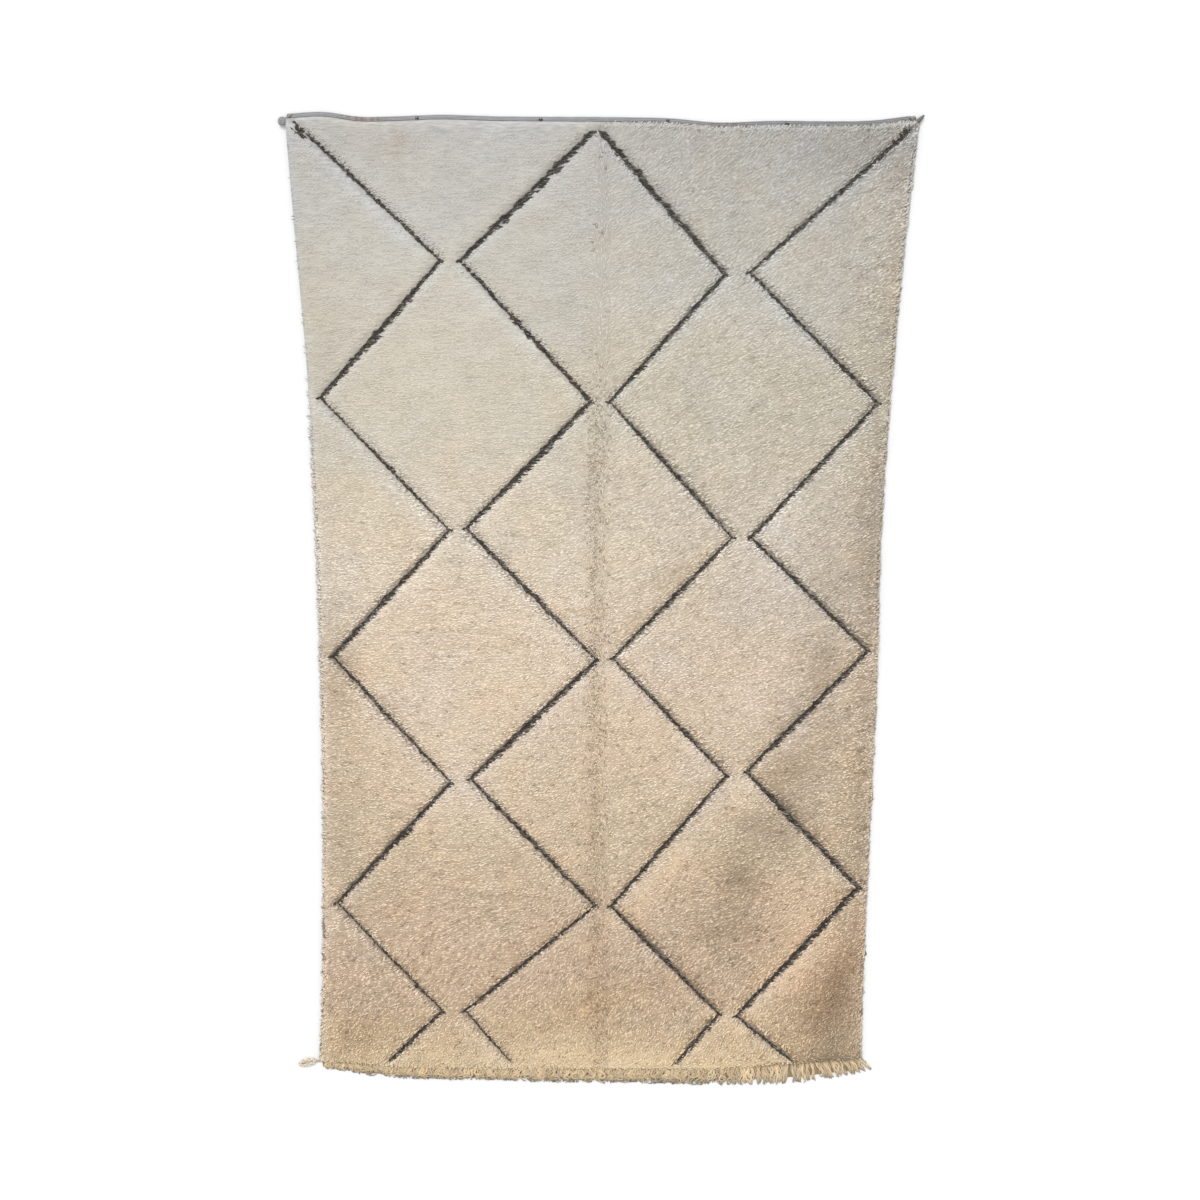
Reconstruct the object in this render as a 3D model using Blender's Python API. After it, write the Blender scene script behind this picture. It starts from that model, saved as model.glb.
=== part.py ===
"""Beni ourain rug, laid flat and face up.

Metres, +Z up. +X runs across the rug and +Y along it, towards its plain end. The underside is z = 0.
The shag field is one solid with its woven ground. The fringe and three corner pieces stand clear of it.
"""

from bisect import bisect
from collections import namedtuple
from math import cos, hypot, pi, radians, sin, tau

import bmesh
import bpy
from mathutils import Vector, geometry, noise

COLLECTION_NAME = "beni_ourain_rug"

# Heights above the floor
GROUND_HEIGHT = 0.005
RIM_HEIGHT = 0.011
SHOULDER_HEIGHT = 0.0185
PILE_TOP = 0.0215

# Unevenness of the pile: small lumps where tufts lean together, and broad soft swells
LUMP_SIZE = 0.060
LUMP_HEIGHT = 0.0060
SWELL_SIZE = 0.450
SWELL_HEIGHT = 0.0020

# Edge of the pile: locks of wool reach over the woven ground, one out and one in by turns
LOCK_PITCH = 0.045
LOCK_REACH = 0.0035
OVERHANG = 0.008
CORNER_CUT = 0.010

# Flat woven band across the plain end, and the slope of pile behind it
BAND_DEPTH = 0.011
BAND_SLOPE = 0.008
BAND_PITCH = 0.045
BAND_ROUNDING = 0.0008
BAND_SIDE_FROM = 0.0015
BAND_SIDE_TO = 0.0035

# Spacing of the points that carry the lumps, and how far each is shifted, as a part of the spacing
TUFT_SPACING = 0.045
TUFT_SHIFT = 0.3
EDGE_CLEARANCE = 0.024
GROOVE_CLEARANCE = 0.024

# The dark lines lie in grooves, between shoulders of lighter wool
GROOVE_DEPTH = 0.005
GROOVE_HALF_WIDTH = 0.019
GROOVE_SHOULDER = 0.0010
GROOVE_STEPS = 8
GROOVE_END = 0.034
LEAST_SIDE_GAP = 0.016

# The pile is parted down the middle of the rug
PARTING_DEPTH = 0.0025
PARTING_CLEARANCE = 0.020

Side = namedtuple("Side", "along left right")
Edge = namedtuple("Edge", "across along")
Turn = namedtuple("Turn", "across along")
Dip = namedtuple("Dip", "across along half_across half_along depth")
Strand = namedtuple("Strand", "across reach lean curl")
Station = namedtuple("Station", "part fill height")
Girth = namedtuple("Girth", "part scale")

# Distance of each long side from the middle line. The weave draws in at the waist.
SIDES = (
    Side(along=-1.260, left=0.797, right=0.742),
    Side(along=-1.080, left=0.784, right=0.739),
    Side(along=-0.660, left=0.767, right=0.742),
    Side(along=-0.200, left=0.756, right=0.748),
    Side(along=0.240, left=0.754, right=0.746),
    Side(along=0.670, left=0.765, right=0.760),
    Side(along=1.070, left=0.786, right=0.784),
    Side(along=1.290, left=0.797, right=0.804),
)

# Edge of the woven band at the plain end
PLAIN_END = (
    Edge(across=-0.780, along=1.333),
    Edge(across=-0.700, along=1.337),
    Edge(across=-0.605, along=1.325),
    Edge(across=-0.520, along=1.326),
    Edge(across=-0.400, along=1.330),
    Edge(across=-0.250, along=1.326),
    Edge(across=0.050, along=1.324),
    Edge(across=0.180, along=1.321),
    Edge(across=0.300, along=1.311),
    Edge(across=0.430, along=1.315),
    Edge(across=0.670, along=1.315),
    Edge(across=0.785, along=1.327),
)

# Edge of the pile at the fringed end
FRINGED_END = (
    Edge(across=-0.797, along=-1.264),
    Edge(across=-0.686, along=-1.270),
    Edge(across=-0.610, along=-1.279),
    Edge(across=-0.455, along=-1.286),
    Edge(across=0.285, along=-1.289),
    Edge(across=0.400, along=-1.283),
    Edge(across=0.520, along=-1.270),
    Edge(across=0.742, along=-1.256),
)

# Turning points of the four dark lines, from the plain end to the fringe
LINES = (
    (
        Turn(across=-0.775, along=1.315),
        Turn(across=-0.410, along=0.970),
        Turn(across=-0.730, along=0.620),
        Turn(across=-0.400, along=0.270),
        Turn(across=-0.720, along=-0.075),
        Turn(across=-0.410, along=-0.430),
        Turn(across=-0.730, along=-0.780),
        Turn(across=-0.445, along=-1.105),
        Turn(across=-0.600, along=-1.260),
    ),
    (
        Turn(across=-0.020, along=1.290),
        Turn(across=-0.360, along=0.970),
        Turn(across=-0.025, along=0.610),
        Turn(across=-0.355, along=0.275),
        Turn(across=-0.010, along=-0.085),
        Turn(across=-0.355, along=-0.420),
        Turn(across=-0.015, along=-0.790),
        Turn(across=-0.380, along=-1.105),
        Turn(across=-0.255, along=-1.260),
    ),
    (
        Turn(across=0.000, along=1.290),
        Turn(across=0.320, along=0.935),
        Turn(across=0.025, along=0.610),
        Turn(across=0.350, along=0.250),
        Turn(across=0.035, along=-0.080),
        Turn(across=0.345, along=-0.410),
        Turn(across=0.030, along=-0.790),
        Turn(across=0.335, along=-1.115),
        Turn(across=0.215, along=-1.265),
    ),
    (
        Turn(across=0.785, along=1.295),
        Turn(across=0.385, along=0.940),
        Turn(across=0.725, along=0.605),
        Turn(across=0.400, along=0.250),
        Turn(across=0.720, along=-0.060),
        Turn(across=0.400, along=-0.400),
        Turn(across=0.715, along=-0.735),
        Turn(across=0.385, along=-1.120),
        Turn(across=0.545, along=-1.260),
    ),
)

# Soft troughs in the pile: two faint creases, and two hollows near the lower right corner
DIPS = (
    Dip(across=-0.200, along=0.065, half_across=0.200, half_along=0.030, depth=0.0020),
    Dip(across=-0.250, along=-0.770, half_across=0.220, half_along=0.030, depth=0.0020),
    Dip(across=0.680, along=-0.950, half_across=0.045, half_along=0.330, depth=0.0030),
    Dip(across=0.470, along=-0.720, half_across=0.100, half_along=0.120, depth=0.0025),
)

# Fringe: its strands lengthen, straighten and fan out towards the right
FRINGE_FROM = -0.786
FRINGE_TO = 0.737
FRINGE_STRANDS = 138
FRINGE_HEIGHT = 0.0040
BACKING_DEPTH = 0.005
PIECE_GAP = 0.0006
FRINGE = (
    Strand(across=-0.790, reach=0.026, lean=0.10, curl=0.0010),
    Strand(across=-0.670, reach=0.036, lean=0.15, curl=0.0018),
    Strand(across=-0.450, reach=0.036, lean=0.05, curl=0.0020),
    Strand(across=-0.100, reach=0.041, lean=-0.05, curl=0.0020),
    Strand(across=0.250, reach=0.047, lean=0.00, curl=0.0018),
    Strand(across=0.420, reach=0.056, lean=0.05, curl=0.0010),
    Strand(across=0.550, reach=0.064, lean=0.20, curl=0.0006),
    Strand(across=0.680, reach=0.054, lean=0.45, curl=0.0006),
    Strand(across=0.740, reach=0.050, lean=0.70, curl=0.0004),
)
REACH_VARIATION = 0.22
CURL_TURNS = 1.6
# How far along its reach each station of a strand lies, how much of the pitch it fills, and its height
STATIONS = (
    Station(part=0.30, fill=0.74, height=0.0040),
    Station(part=0.65, fill=0.64, height=0.0034),
    Station(part=1.00, fill=0.34, height=0.0018),
)

# Looped braid at the fringed end's left corner
BRAID_PLACE = (-0.8335, -1.2690)
BRAID_TURN = radians(14)
BRAID_LENGTH = 0.054
BRAID_WIDTH = 0.024
BRAID_THICKNESS = 0.0095
BRAID_PLAITS = 10
BRAID_SWELL = 0.10
STEPS_PER_PLAIT = 3

# Yarn knob at the plain end's left corner
KNOB_PLACE = (-0.8025, 1.3140)
KNOB_RADIUS = 0.0108
KNOB_HEIGHT = 0.015
KNOB_RIDGES = 7
KNOB_RIDGE_HEIGHT = 0.0007
STEPS_PER_RIDGE = 3
KNOB_LEVELS = 8

# Yarn tie drawn out to a point at the plain end's right corner
TIE_PLACE = (0.8095, 1.2960)
TIE_TURN = radians(78)
TIE_LENGTH = 0.040
TIE_THICKNESS = 0.013
TIE_WRAPS = 6
TIE_WRAP_DEPTH = 0.08
# Girth along the tie, as parts of its length and of its thickness
TIE_GIRTHS = (
    Girth(part=0.00, scale=0.60),
    Girth(part=0.12, scale=1.00),
    Girth(part=0.45, scale=0.92),
    Girth(part=0.75, scale=0.66),
    Girth(part=1.00, scale=0.22),
)

# A lying cord's middle is a little under half its thickness up, so that its underside is pressed flat
LYING_HEIGHT = 0.45

# Levels at which the noise is read, so that each use of it is unlike the others
LOCK_LEVEL, REACH_LEVEL, PHASE_LEVEL = 3.0, 5.0, 9.0
SHIFT_LEVELS = (11.0, 17.0)
REACH_STEP, PHASE_STEP = 0.73, 0.41

WOOL_ROUGHNESS = 0.95
COLOURS = {
    "rug_field": (0.60, 0.53, 0.43),
    "end_fringe": (0.66, 0.52, 0.34),
    "corner_braid": (0.58, 0.51, 0.42),
    "corner_knob": (0.36, 0.35, 0.32),
    "corner_tie": (0.10, 0.10, 0.09),
}


def through(rows, at):
    """Value at `at` of the smooth curve through (place, value) rows, sorted by place."""
    places = [place for place, value in rows]
    i = min(max(bisect(places, at) - 1, 0), len(rows) - 2)

    def slope(k):
        before, after = max(k - 1, 0), min(k + 1, len(rows) - 1)
        return (rows[after][1] - rows[before][1]) / (rows[after][0] - rows[before][0])

    (start, low), (end, high) = rows[i], rows[i + 1]
    span = end - start
    t = min(max((at - start) / span, 0.0), 1.0)
    rise = (3 - 2 * t) * t * t
    return (
        low
        + (high - low) * rise
        + span * slope(i) * t * (1 - t) ** 2
        - span * slope(i + 1) * t * t * (1 - t)
    )


def left_side(along):
    return through([(row.along, -row.left) for row in SIDES], along)


def right_side(along):
    return through([(row.along, row.right) for row in SIDES], along)


def plain_end(across):
    return through(PLAIN_END, across)


def fringed_end(across):
    return through(FRINGED_END, across)


def steps(start, end, pitch):
    """Evenly spaced values from start to end, as near to the pitch as a whole number of steps allows."""
    count = max(1, round(abs(end - start) / pitch))
    return [start + (end - start) * k / count for k in range(count + 1)]


def pile_top(x, y):
    """Height of the pile at a place: lumpy, softly uneven and lower in its creases."""
    place = Vector((x, y, 0.0))
    height = PILE_TOP + LUMP_HEIGHT * noise.noise(place / LUMP_SIZE)
    height += SWELL_HEIGHT * noise.noise(place / SWELL_SIZE)
    for dip in DIPS:
        off = hypot((x - dip.across) / dip.half_across, (y - dip.along) / dip.half_along)
        if off < 1:
            height -= dip.depth * (0.5 + 0.5 * cos(pi * off))
    return height


def outline():
    """Edge of the rug from above, anticlockwise, as (x, y, whether the woven band is there)."""
    half_lock = LOCK_PITCH / 2
    low_left, low_right = FRINGED_END[0], FRINGED_END[-1]
    high_left, high_right = PLAIN_END[0], PLAIN_END[-1]
    side_top = SIDES[-1].along
    points = []
    for x in steps(low_left.across + CORNER_CUT, low_right.across - CORNER_CUT, half_lock):
        points.append((x, fringed_end(x), False))
    for y in steps(low_right.along + CORNER_CUT, side_top, half_lock):
        points.append((right_side(y), y, False))
    for x in steps(high_right.across, high_left.across, BAND_PITCH):
        points.append((x, plain_end(x), True))
    for y in steps(side_top, low_left.along + CORNER_CUT, half_lock):
        points.append((left_side(y), y, False))
    return points


def outward(points):
    """Unit direction away from the rug at each point of its outline."""
    directions = []
    for i, point in enumerate(points):
        before, after = points[i - 1], points[(i + 1) % len(points)]
        along = Vector((after[0] - before[0], after[1] - before[1]))
        directions.append(Vector((along.y, -along.x)).normalized())
    return directions


def rings(points):
    """The rim's four rings of points from the top of the pile down to the floor."""
    shoulder, rim, ground, floor = [], [], [], []
    for i, ((x, y, band), away) in enumerate(zip(points, outward(points))):
        edge = Vector((x, y))
        if band:
            insets = (BAND_ROUNDING, 0.0, 0.0, BAND_ROUNDING)
            heights = (GROUND_HEIGHT, BAND_SIDE_TO, BAND_SIDE_FROM, 0.0)
        else:
            ragged = 0.5 + abs(noise.noise(Vector((x, y, LOCK_LEVEL)) / LUMP_SIZE))
            lock = LOCK_REACH * ragged * (1 if i % 2 else -1)
            insets = (OVERHANG - lock / 2, -lock, OVERHANG, OVERHANG)
            heights = (SHOULDER_HEIGHT + lock / 4, RIM_HEIGHT, GROUND_HEIGHT, 0.0)
        for ring, inset, height in zip((shoulder, rim, ground, floor), insets, heights):
            ring.append((edge - inset * away).to_3d() + Vector((0, 0, height)))
    return shoulder, rim, ground, floor


def groove_rows(line):
    """Points across one dark line's groove, row by row: left shoulder, bed and right shoulder."""
    rows = []
    for start, end in zip(line, line[1:]):
        for step in range(GROOVE_STEPS):
            t = step / GROOVE_STEPS
            x = start.across + (end.across - start.across) * t
            y = start.along + (end.along - start.along) * t
            if not fringed_end(x) + GROOVE_END < y < plain_end(x) - GROOVE_END:
                continue
            left = max(x - GROOVE_HALF_WIDTH, left_side(y) + LEAST_SIDE_GAP)
            right = min(x + GROOVE_HALF_WIDTH, right_side(y) - LEAST_SIDE_GAP)
            bed = pile_top(x, y) - GROOVE_DEPTH
            rows.append(
                (
                    (left, y, pile_top(left, y) + GROOVE_SHOULDER),
                    (x, y, bed),
                    (right, y, pile_top(right, y) + GROOVE_SHOULDER),
                )
            )
    return rows


def band_rows():
    """Two rows of points behind the woven band: where the pile starts, and where it stands full height."""
    foot, crest = [], []
    for x in steps(PLAIN_END[0].across, PLAIN_END[-1].across, BAND_PITCH):
        y = plain_end(x) - BAND_DEPTH
        foot.append((x, y, GROUND_HEIGHT))
        crest.append((x, y - BAND_SLOPE, SHOULDER_HEIGHT))
    return foot, crest


def nearest(spot, others):
    return min(hypot(spot[0] - other[0], spot[1] - other[1]) for other in others)


def parting_points(grooves):
    """Low points down the middle of the rug, where the pile is parted."""
    points = []
    for y in steps(fringed_end(0) + TUFT_SPACING, plain_end(0) - TUFT_SPACING, TUFT_SPACING):
        if nearest((0, y), grooves) > GROOVE_CLEARANCE:
            points.append((0.0, y, pile_top(0, y) - PARTING_DEPTH))
    return points


def shift(x, y, level):
    """How far a point of the lattice is shifted one way."""
    place = Vector((x, y, level)) / TUFT_SPACING
    return TUFT_SHIFT * TUFT_SPACING * noise.noise(place)


def lump_points(grooves, parting):
    """Points of a triangular lattice over the rest of the field, shifted a little so that no rows show."""
    row_pitch = TUFT_SPACING * sin(pi / 3)
    widest = max(max(row.left, row.right) for row in SIDES)
    lowest = min(row.along for row in FRINGED_END)
    highest = max(row.along for row in PLAIN_END)
    points = []
    for row, y in enumerate(steps(lowest, highest, row_pitch)):
        for x in steps(-widest, widest, TUFT_SPACING):
            x += TUFT_SPACING / 2 * (row % 2)
            spot = (x + shift(x, y, SHIFT_LEVELS[0]), y + shift(x, y, SHIFT_LEVELS[1]))
            if not left_side(spot[1]) + EDGE_CLEARANCE < spot[0] < right_side(spot[1]) - EDGE_CLEARANCE:
                continue
            far_edge = plain_end(spot[0]) - BAND_DEPTH - BAND_SLOPE
            near_edge = fringed_end(spot[0])
            if not near_edge + EDGE_CLEARANCE < spot[1] < far_edge - EDGE_CLEARANCE / 2:
                continue
            if nearest(spot, grooves) < GROOVE_CLEARANCE or nearest(spot, parting) < PARTING_CLEARANCE:
                continue
            points.append((*spot, pile_top(*spot)))
    return points


def field_mesh(bm):
    """Fills a mesh with the field: a lumpy top over the plan, walls down its rim and a flat underside."""
    shoulder, rim, ground, floor = rings(outline())
    points = [tuple(point) for point in shoulder]
    creases = []
    plan = list(range(len(points)))
    rows = [groove_rows(line) for line in LINES]
    for chain in [list(chain) for groove in rows for chain in zip(*groove)] + list(band_rows()):
        start = len(points)
        points.extend(chain)
        creases.extend((k, k + 1) for k in range(start, len(points) - 1))
    grooves = [point for groove in rows for row in groove for point in row]
    parting = parting_points(grooves)
    points.extend(parting)
    points.extend(lump_points(grooves, parting))

    flat = [Vector(point[:2]) for point in points]
    found = geometry.delaunay_2d_cdt(flat, creases, [plan], 1, 1e-6)
    placed, faces, sources = found[0], found[2], found[3]
    verts = []
    for place, source in zip(placed, sources):
        height = points[source[0]][2] if source else pile_top(*place)
        verts.append(bm.verts.new((*place, height)))
    for face in faces:
        bm.faces.new([verts[k] for k in face])

    top_ring = {source: vert for vert, origins in zip(verts, sources) for source in origins}
    ring = [top_ring[k] for k in plan]
    for level in (rim, ground, floor):
        edges = [bm.edges.get((ring[k - 1], ring[k])) for k in range(len(ring))]
        made = bmesh.ops.extrude_edge_only(bm, edges=edges)["geom"]
        new = [item for item in made if isinstance(item, bmesh.types.BMVert)]
        pairs = {}
        for vert in ring:
            joined = [edge.other_vert(vert) for edge in vert.link_edges]
            pairs[vert] = next(other for other in joined if other in new)
        ring = [pairs[vert] for vert in ring]
        for vert, place in zip(ring, level):
            vert.co = place
    edges = [bm.edges.get((ring[k - 1], ring[k])) for k in range(len(ring))]
    bmesh.ops.triangle_fill(bm, use_beauty=True, edges=edges)


def fringe_row(across):
    """Reach, lean and curl of the fringe at one place."""
    return [through([(row.across, row[column]) for row in FRINGE], across) for column in (1, 2, 3)]


def fringe_mesh(bm):
    """Fills a mesh with the fringe: a narrow backing, and strands drawn out of its front faces."""
    pitch = (FRINGE_TO - FRINGE_FROM) / FRINGE_STRANDS
    bmesh.ops.create_grid(bm, x_segments=FRINGE_STRANDS, y_segments=1, size=0.5)
    for vert in bm.verts:
        x = FRINGE_FROM + (vert.co.x + 0.5) * (FRINGE_TO - FRINGE_FROM)
        back = fringed_end(x) + OVERHANG - PIECE_GAP
        vert.co = (x, back if vert.co.y > 0 else back - BACKING_DEPTH, 0)
    made = bmesh.ops.extrude_face_region(bm, geom=bm.faces[:])["geom"]
    raised = [item for item in made if isinstance(item, bmesh.types.BMVert)]
    bmesh.ops.translate(bm, verts=raised, vec=(0, 0, FRINGE_HEIGHT))
    bmesh.ops.recalc_face_normals(bm, faces=bm.faces)

    fronts = [face for face in bm.faces if face.normal.y < -0.9]
    fronts.sort(key=lambda face: face.calc_center_median().x)
    for strand, face in enumerate(fronts):
        root = face.calc_center_median()
        reach, lean, curl = fringe_row(root.x)
        reach *= 1 + REACH_VARIATION * noise.noise(Vector((strand * REACH_STEP, REACH_LEVEL, 0.0)))
        length = reach + OVERHANG - BACKING_DEPTH - PIECE_GAP
        direction = Vector((lean, -1.0, 0.0)).normalized()
        sideways = Vector((-direction.y, direction.x, 0.0))
        phase = tau * noise.noise(Vector((strand * PHASE_STEP, PHASE_LEVEL, 0.0)))
        for station in STATIONS:
            wave = curl * sin(phase + tau * CURL_TURNS * station.part) * station.part
            centre = root + direction * length * station.part + sideways * wave
            face = bmesh.ops.extrude_discrete_faces(bm, faces=[face])["faces"][0]
            middle = face.calc_center_median()
            for vert in face.verts:
                off = vert.co - middle
                half = pitch * station.fill / 2 * (1 if off.dot(sideways) > 0 else -1)
                level = station.height if off.z > 0 else 0.0
                vert.co = Vector((centre.x, centre.y, level)) + sideways * half


def press_flat(bm):
    """Wool that rests on the floor is flat there."""
    for vert in bm.verts:
        vert.co.z = max(vert.co.z, 0.0)


def cord(name, places, radii, thickness, cyclic):
    """Mesh of a lying cord through (x, y) places, with its radius scaled at each, its underside flat."""
    curve = bpy.data.curves.new(name, "CURVE")
    curve.dimensions = "3D"
    curve.bevel_depth = thickness / 2
    curve.bevel_resolution = 2
    curve.use_fill_caps = True
    spline = curve.splines.new("POLY")
    spline.points.add(len(places) - 1)
    spline.use_cyclic_u = cyclic
    for point, (x, y), radius in zip(spline.points, places, radii):
        point.co = (x, y, thickness * LYING_HEIGHT, 1.0)
        point.radius = radius
    carrier = bpy.data.objects.new(name, curve)
    bpy.context.scene.collection.objects.link(carrier)
    graph = bpy.context.evaluated_depsgraph_get()
    mesh = bpy.data.meshes.new_from_object(carrier.evaluated_get(graph))
    bpy.data.objects.remove(carrier)
    bpy.data.curves.remove(curve)
    bm = bmesh.new()
    bm.from_mesh(mesh)
    bpy.data.meshes.remove(mesh)
    bmesh.ops.remove_doubles(bm, verts=bm.verts, dist=1e-6)
    press_flat(bm)
    return bm


def braid_mesh():
    """A flattened loop of cord whose thickness swells at each plait."""
    reach = (BRAID_LENGTH - BRAID_THICKNESS) / 2
    rise = (BRAID_WIDTH - BRAID_THICKNESS) / 2
    count = BRAID_PLAITS * STEPS_PER_PLAIT
    places, radii = [], []
    for step in range(count):
        angle = tau * step / count
        places.append((reach * cos(angle), rise * sin(angle)))
        radii.append(1 - BRAID_SWELL + BRAID_SWELL * cos(tau * step / STEPS_PER_PLAIT))
    return cord("corner_braid", places, radii, BRAID_THICKNESS, True)


def tie_mesh():
    """A bundle of yarn ends, bound near its root and drawn out to a point."""
    places, radii = [], []
    count = TIE_WRAPS * 2
    for step in range(count + 1):
        part = step / count
        places.append((TIE_LENGTH * (part - 0.5), 0.0))
        radii.append(through(TIE_GIRTHS, part) * (1 if step % 2 else 1 - TIE_WRAP_DEPTH))
    return cord("corner_tie", places, radii, TIE_THICKNESS, False)


def knob_mesh():
    """A ball of knotted yarn with ridges wound round it."""
    bm = bmesh.new()
    round_it = KNOB_RIDGES * STEPS_PER_RIDGE
    bmesh.ops.create_uvsphere(bm, u_segments=round_it, v_segments=KNOB_LEVELS, radius=KNOB_RADIUS)
    for vert in bm.verts:
        around = Vector(vert.co.xy).angle_signed(Vector((1, 0)), 0.0)
        level = vert.co.z / KNOB_RADIUS
        ridge = KNOB_RIDGE_HEIGHT * cos(KNOB_RIDGES * (around + level)) * (1 - level * level)
        vert.co += vert.co.normalized() * ridge
        vert.co.z = KNOB_HEIGHT * (level / 2 + LYING_HEIGHT)
    press_flat(bm)
    return bm


def wool(name):
    material = bpy.data.materials.new(name)
    material.use_nodes = True
    shader = material.node_tree.nodes["Principled BSDF"]
    shader.inputs["Base Color"].default_value = (*COLOURS[name], 1.0)
    shader.inputs["Roughness"].default_value = WOOL_ROUGHNESS
    shader.inputs["Metallic"].default_value = 0.0
    material.diffuse_color = (*COLOURS[name], 1.0)
    return material


def add_piece(name, bm, parts, root, place=(0.0, 0.0), turn=0.0):
    """Turns a mesh into a named object in the rug's collection, with its own material."""
    bmesh.ops.recalc_face_normals(bm, faces=bm.faces)
    mesh = bpy.data.meshes.new(name)
    bm.to_mesh(mesh)
    bm.free()
    mesh.materials.append(wool(name))
    piece = bpy.data.objects.new(name, mesh)
    parts.objects.link(piece)
    piece.parent = root
    piece.location = (*place, 0.0)
    piece.rotation_euler = (0.0, 0.0, turn)
    return piece


def shade_smooth(piece):
    for polygon in piece.data.polygons:
        polygon.use_smooth = True


def build_field(parts, root):
    bm = bmesh.new()
    field_mesh(bm)
    return add_piece("rug_field", bm, parts, root)


def build_fringe(parts, root):
    bm = bmesh.new()
    fringe_mesh(bm)
    return add_piece("end_fringe", bm, parts, root)


def build_corners(parts, root):
    for piece in (
        add_piece("corner_braid", braid_mesh(), parts, root, BRAID_PLACE, BRAID_TURN),
        add_piece("corner_knob", knob_mesh(), parts, root, KNOB_PLACE),
        add_piece("corner_tie", tie_mesh(), parts, root, TIE_PLACE, TIE_TURN),
    ):
        shade_smooth(piece)


def main():
    for old in list(bpy.data.objects):
        bpy.data.objects.remove(old)
    parts = bpy.data.collections.new(COLLECTION_NAME)
    bpy.context.scene.collection.children.link(parts)
    root = bpy.data.objects.new("rug_root", None)
    parts.objects.link(root)
    build_field(parts, root)
    build_fringe(parts, root)
    build_corners(parts, root)


main()
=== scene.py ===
from collections import namedtuple
from math import cos, pi, radians, sin, tau

import bpy
import numpy as np
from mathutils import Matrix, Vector, noise


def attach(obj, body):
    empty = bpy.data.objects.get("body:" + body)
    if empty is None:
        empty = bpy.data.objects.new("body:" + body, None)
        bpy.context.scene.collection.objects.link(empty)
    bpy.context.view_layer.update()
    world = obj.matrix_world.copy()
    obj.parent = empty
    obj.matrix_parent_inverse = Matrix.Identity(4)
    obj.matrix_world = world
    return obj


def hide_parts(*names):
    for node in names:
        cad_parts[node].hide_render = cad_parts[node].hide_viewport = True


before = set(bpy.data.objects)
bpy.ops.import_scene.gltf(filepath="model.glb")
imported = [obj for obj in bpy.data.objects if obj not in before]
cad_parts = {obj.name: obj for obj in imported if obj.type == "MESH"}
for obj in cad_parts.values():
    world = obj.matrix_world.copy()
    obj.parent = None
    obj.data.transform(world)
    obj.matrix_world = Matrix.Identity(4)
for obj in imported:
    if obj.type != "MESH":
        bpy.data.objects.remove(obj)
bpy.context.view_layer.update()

# Everything is in metres in the row frame: +X across the rug, +Y towards its plain end, underside at z = 0.

# Camera
LENS = 50.0
SENSOR = 36.0
CAMERA_PLACE = (0.0, 1.0065, 4.375)
CAMERA_TILT = radians(-12.0)

# Heights of the pile: in the middle, at its rim and beside the woven band, and of what makes it uneven
PILE_TOP = 0.0215
RIM_HEIGHT = 0.0095
BAND_SIDE_HEIGHT = 0.0065
LUMP_SIZE, LUMP_HEIGHT = 0.060, 0.0060
SWELL_SIZE, SWELL_HEIGHT = 0.450, 0.0020
OVERHANG = 0.008
BAND_DEPTH = 0.011
GROOVE_DEPTH = 0.0055
GROOVE_HALF = 0.015
SHOULDER_HEIGHT = 0.0014
SHOULDER_WIDTH = 0.035
PARTING_DEPTH = 0.0020
PARTING_HALF = 0.022


def table(columns, *rows):
    """Rows of values, with a name for each column."""
    row = namedtuple("Row", columns)
    return tuple(row(*values) for values in rows)


# Distance of each long side from the middle line
SIDES = table(
    "along left right",
    (-1.260, 0.797, 0.742),
    (-1.080, 0.784, 0.739),
    (-0.660, 0.767, 0.742),
    (-0.200, 0.756, 0.748),
    (0.240, 0.754, 0.746),
    (0.670, 0.765, 0.760),
    (1.070, 0.786, 0.784),
    (1.290, 0.797, 0.804),
)
PLAIN_END = table(
    "across along",
    (-0.780, 1.333),
    (-0.700, 1.337),
    (-0.605, 1.325),
    (-0.520, 1.326),
    (-0.400, 1.330),
    (-0.250, 1.326),
    (0.050, 1.324),
    (0.180, 1.321),
    (0.300, 1.311),
    (0.430, 1.315),
    (0.670, 1.315),
    (0.785, 1.327),
)
FRINGED_END = table(
    "across along",
    (-0.797, -1.264),
    (-0.686, -1.270),
    (-0.610, -1.279),
    (-0.455, -1.286),
    (0.285, -1.289),
    (0.400, -1.283),
    (0.520, -1.270),
    (0.742, -1.256),
)

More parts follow.
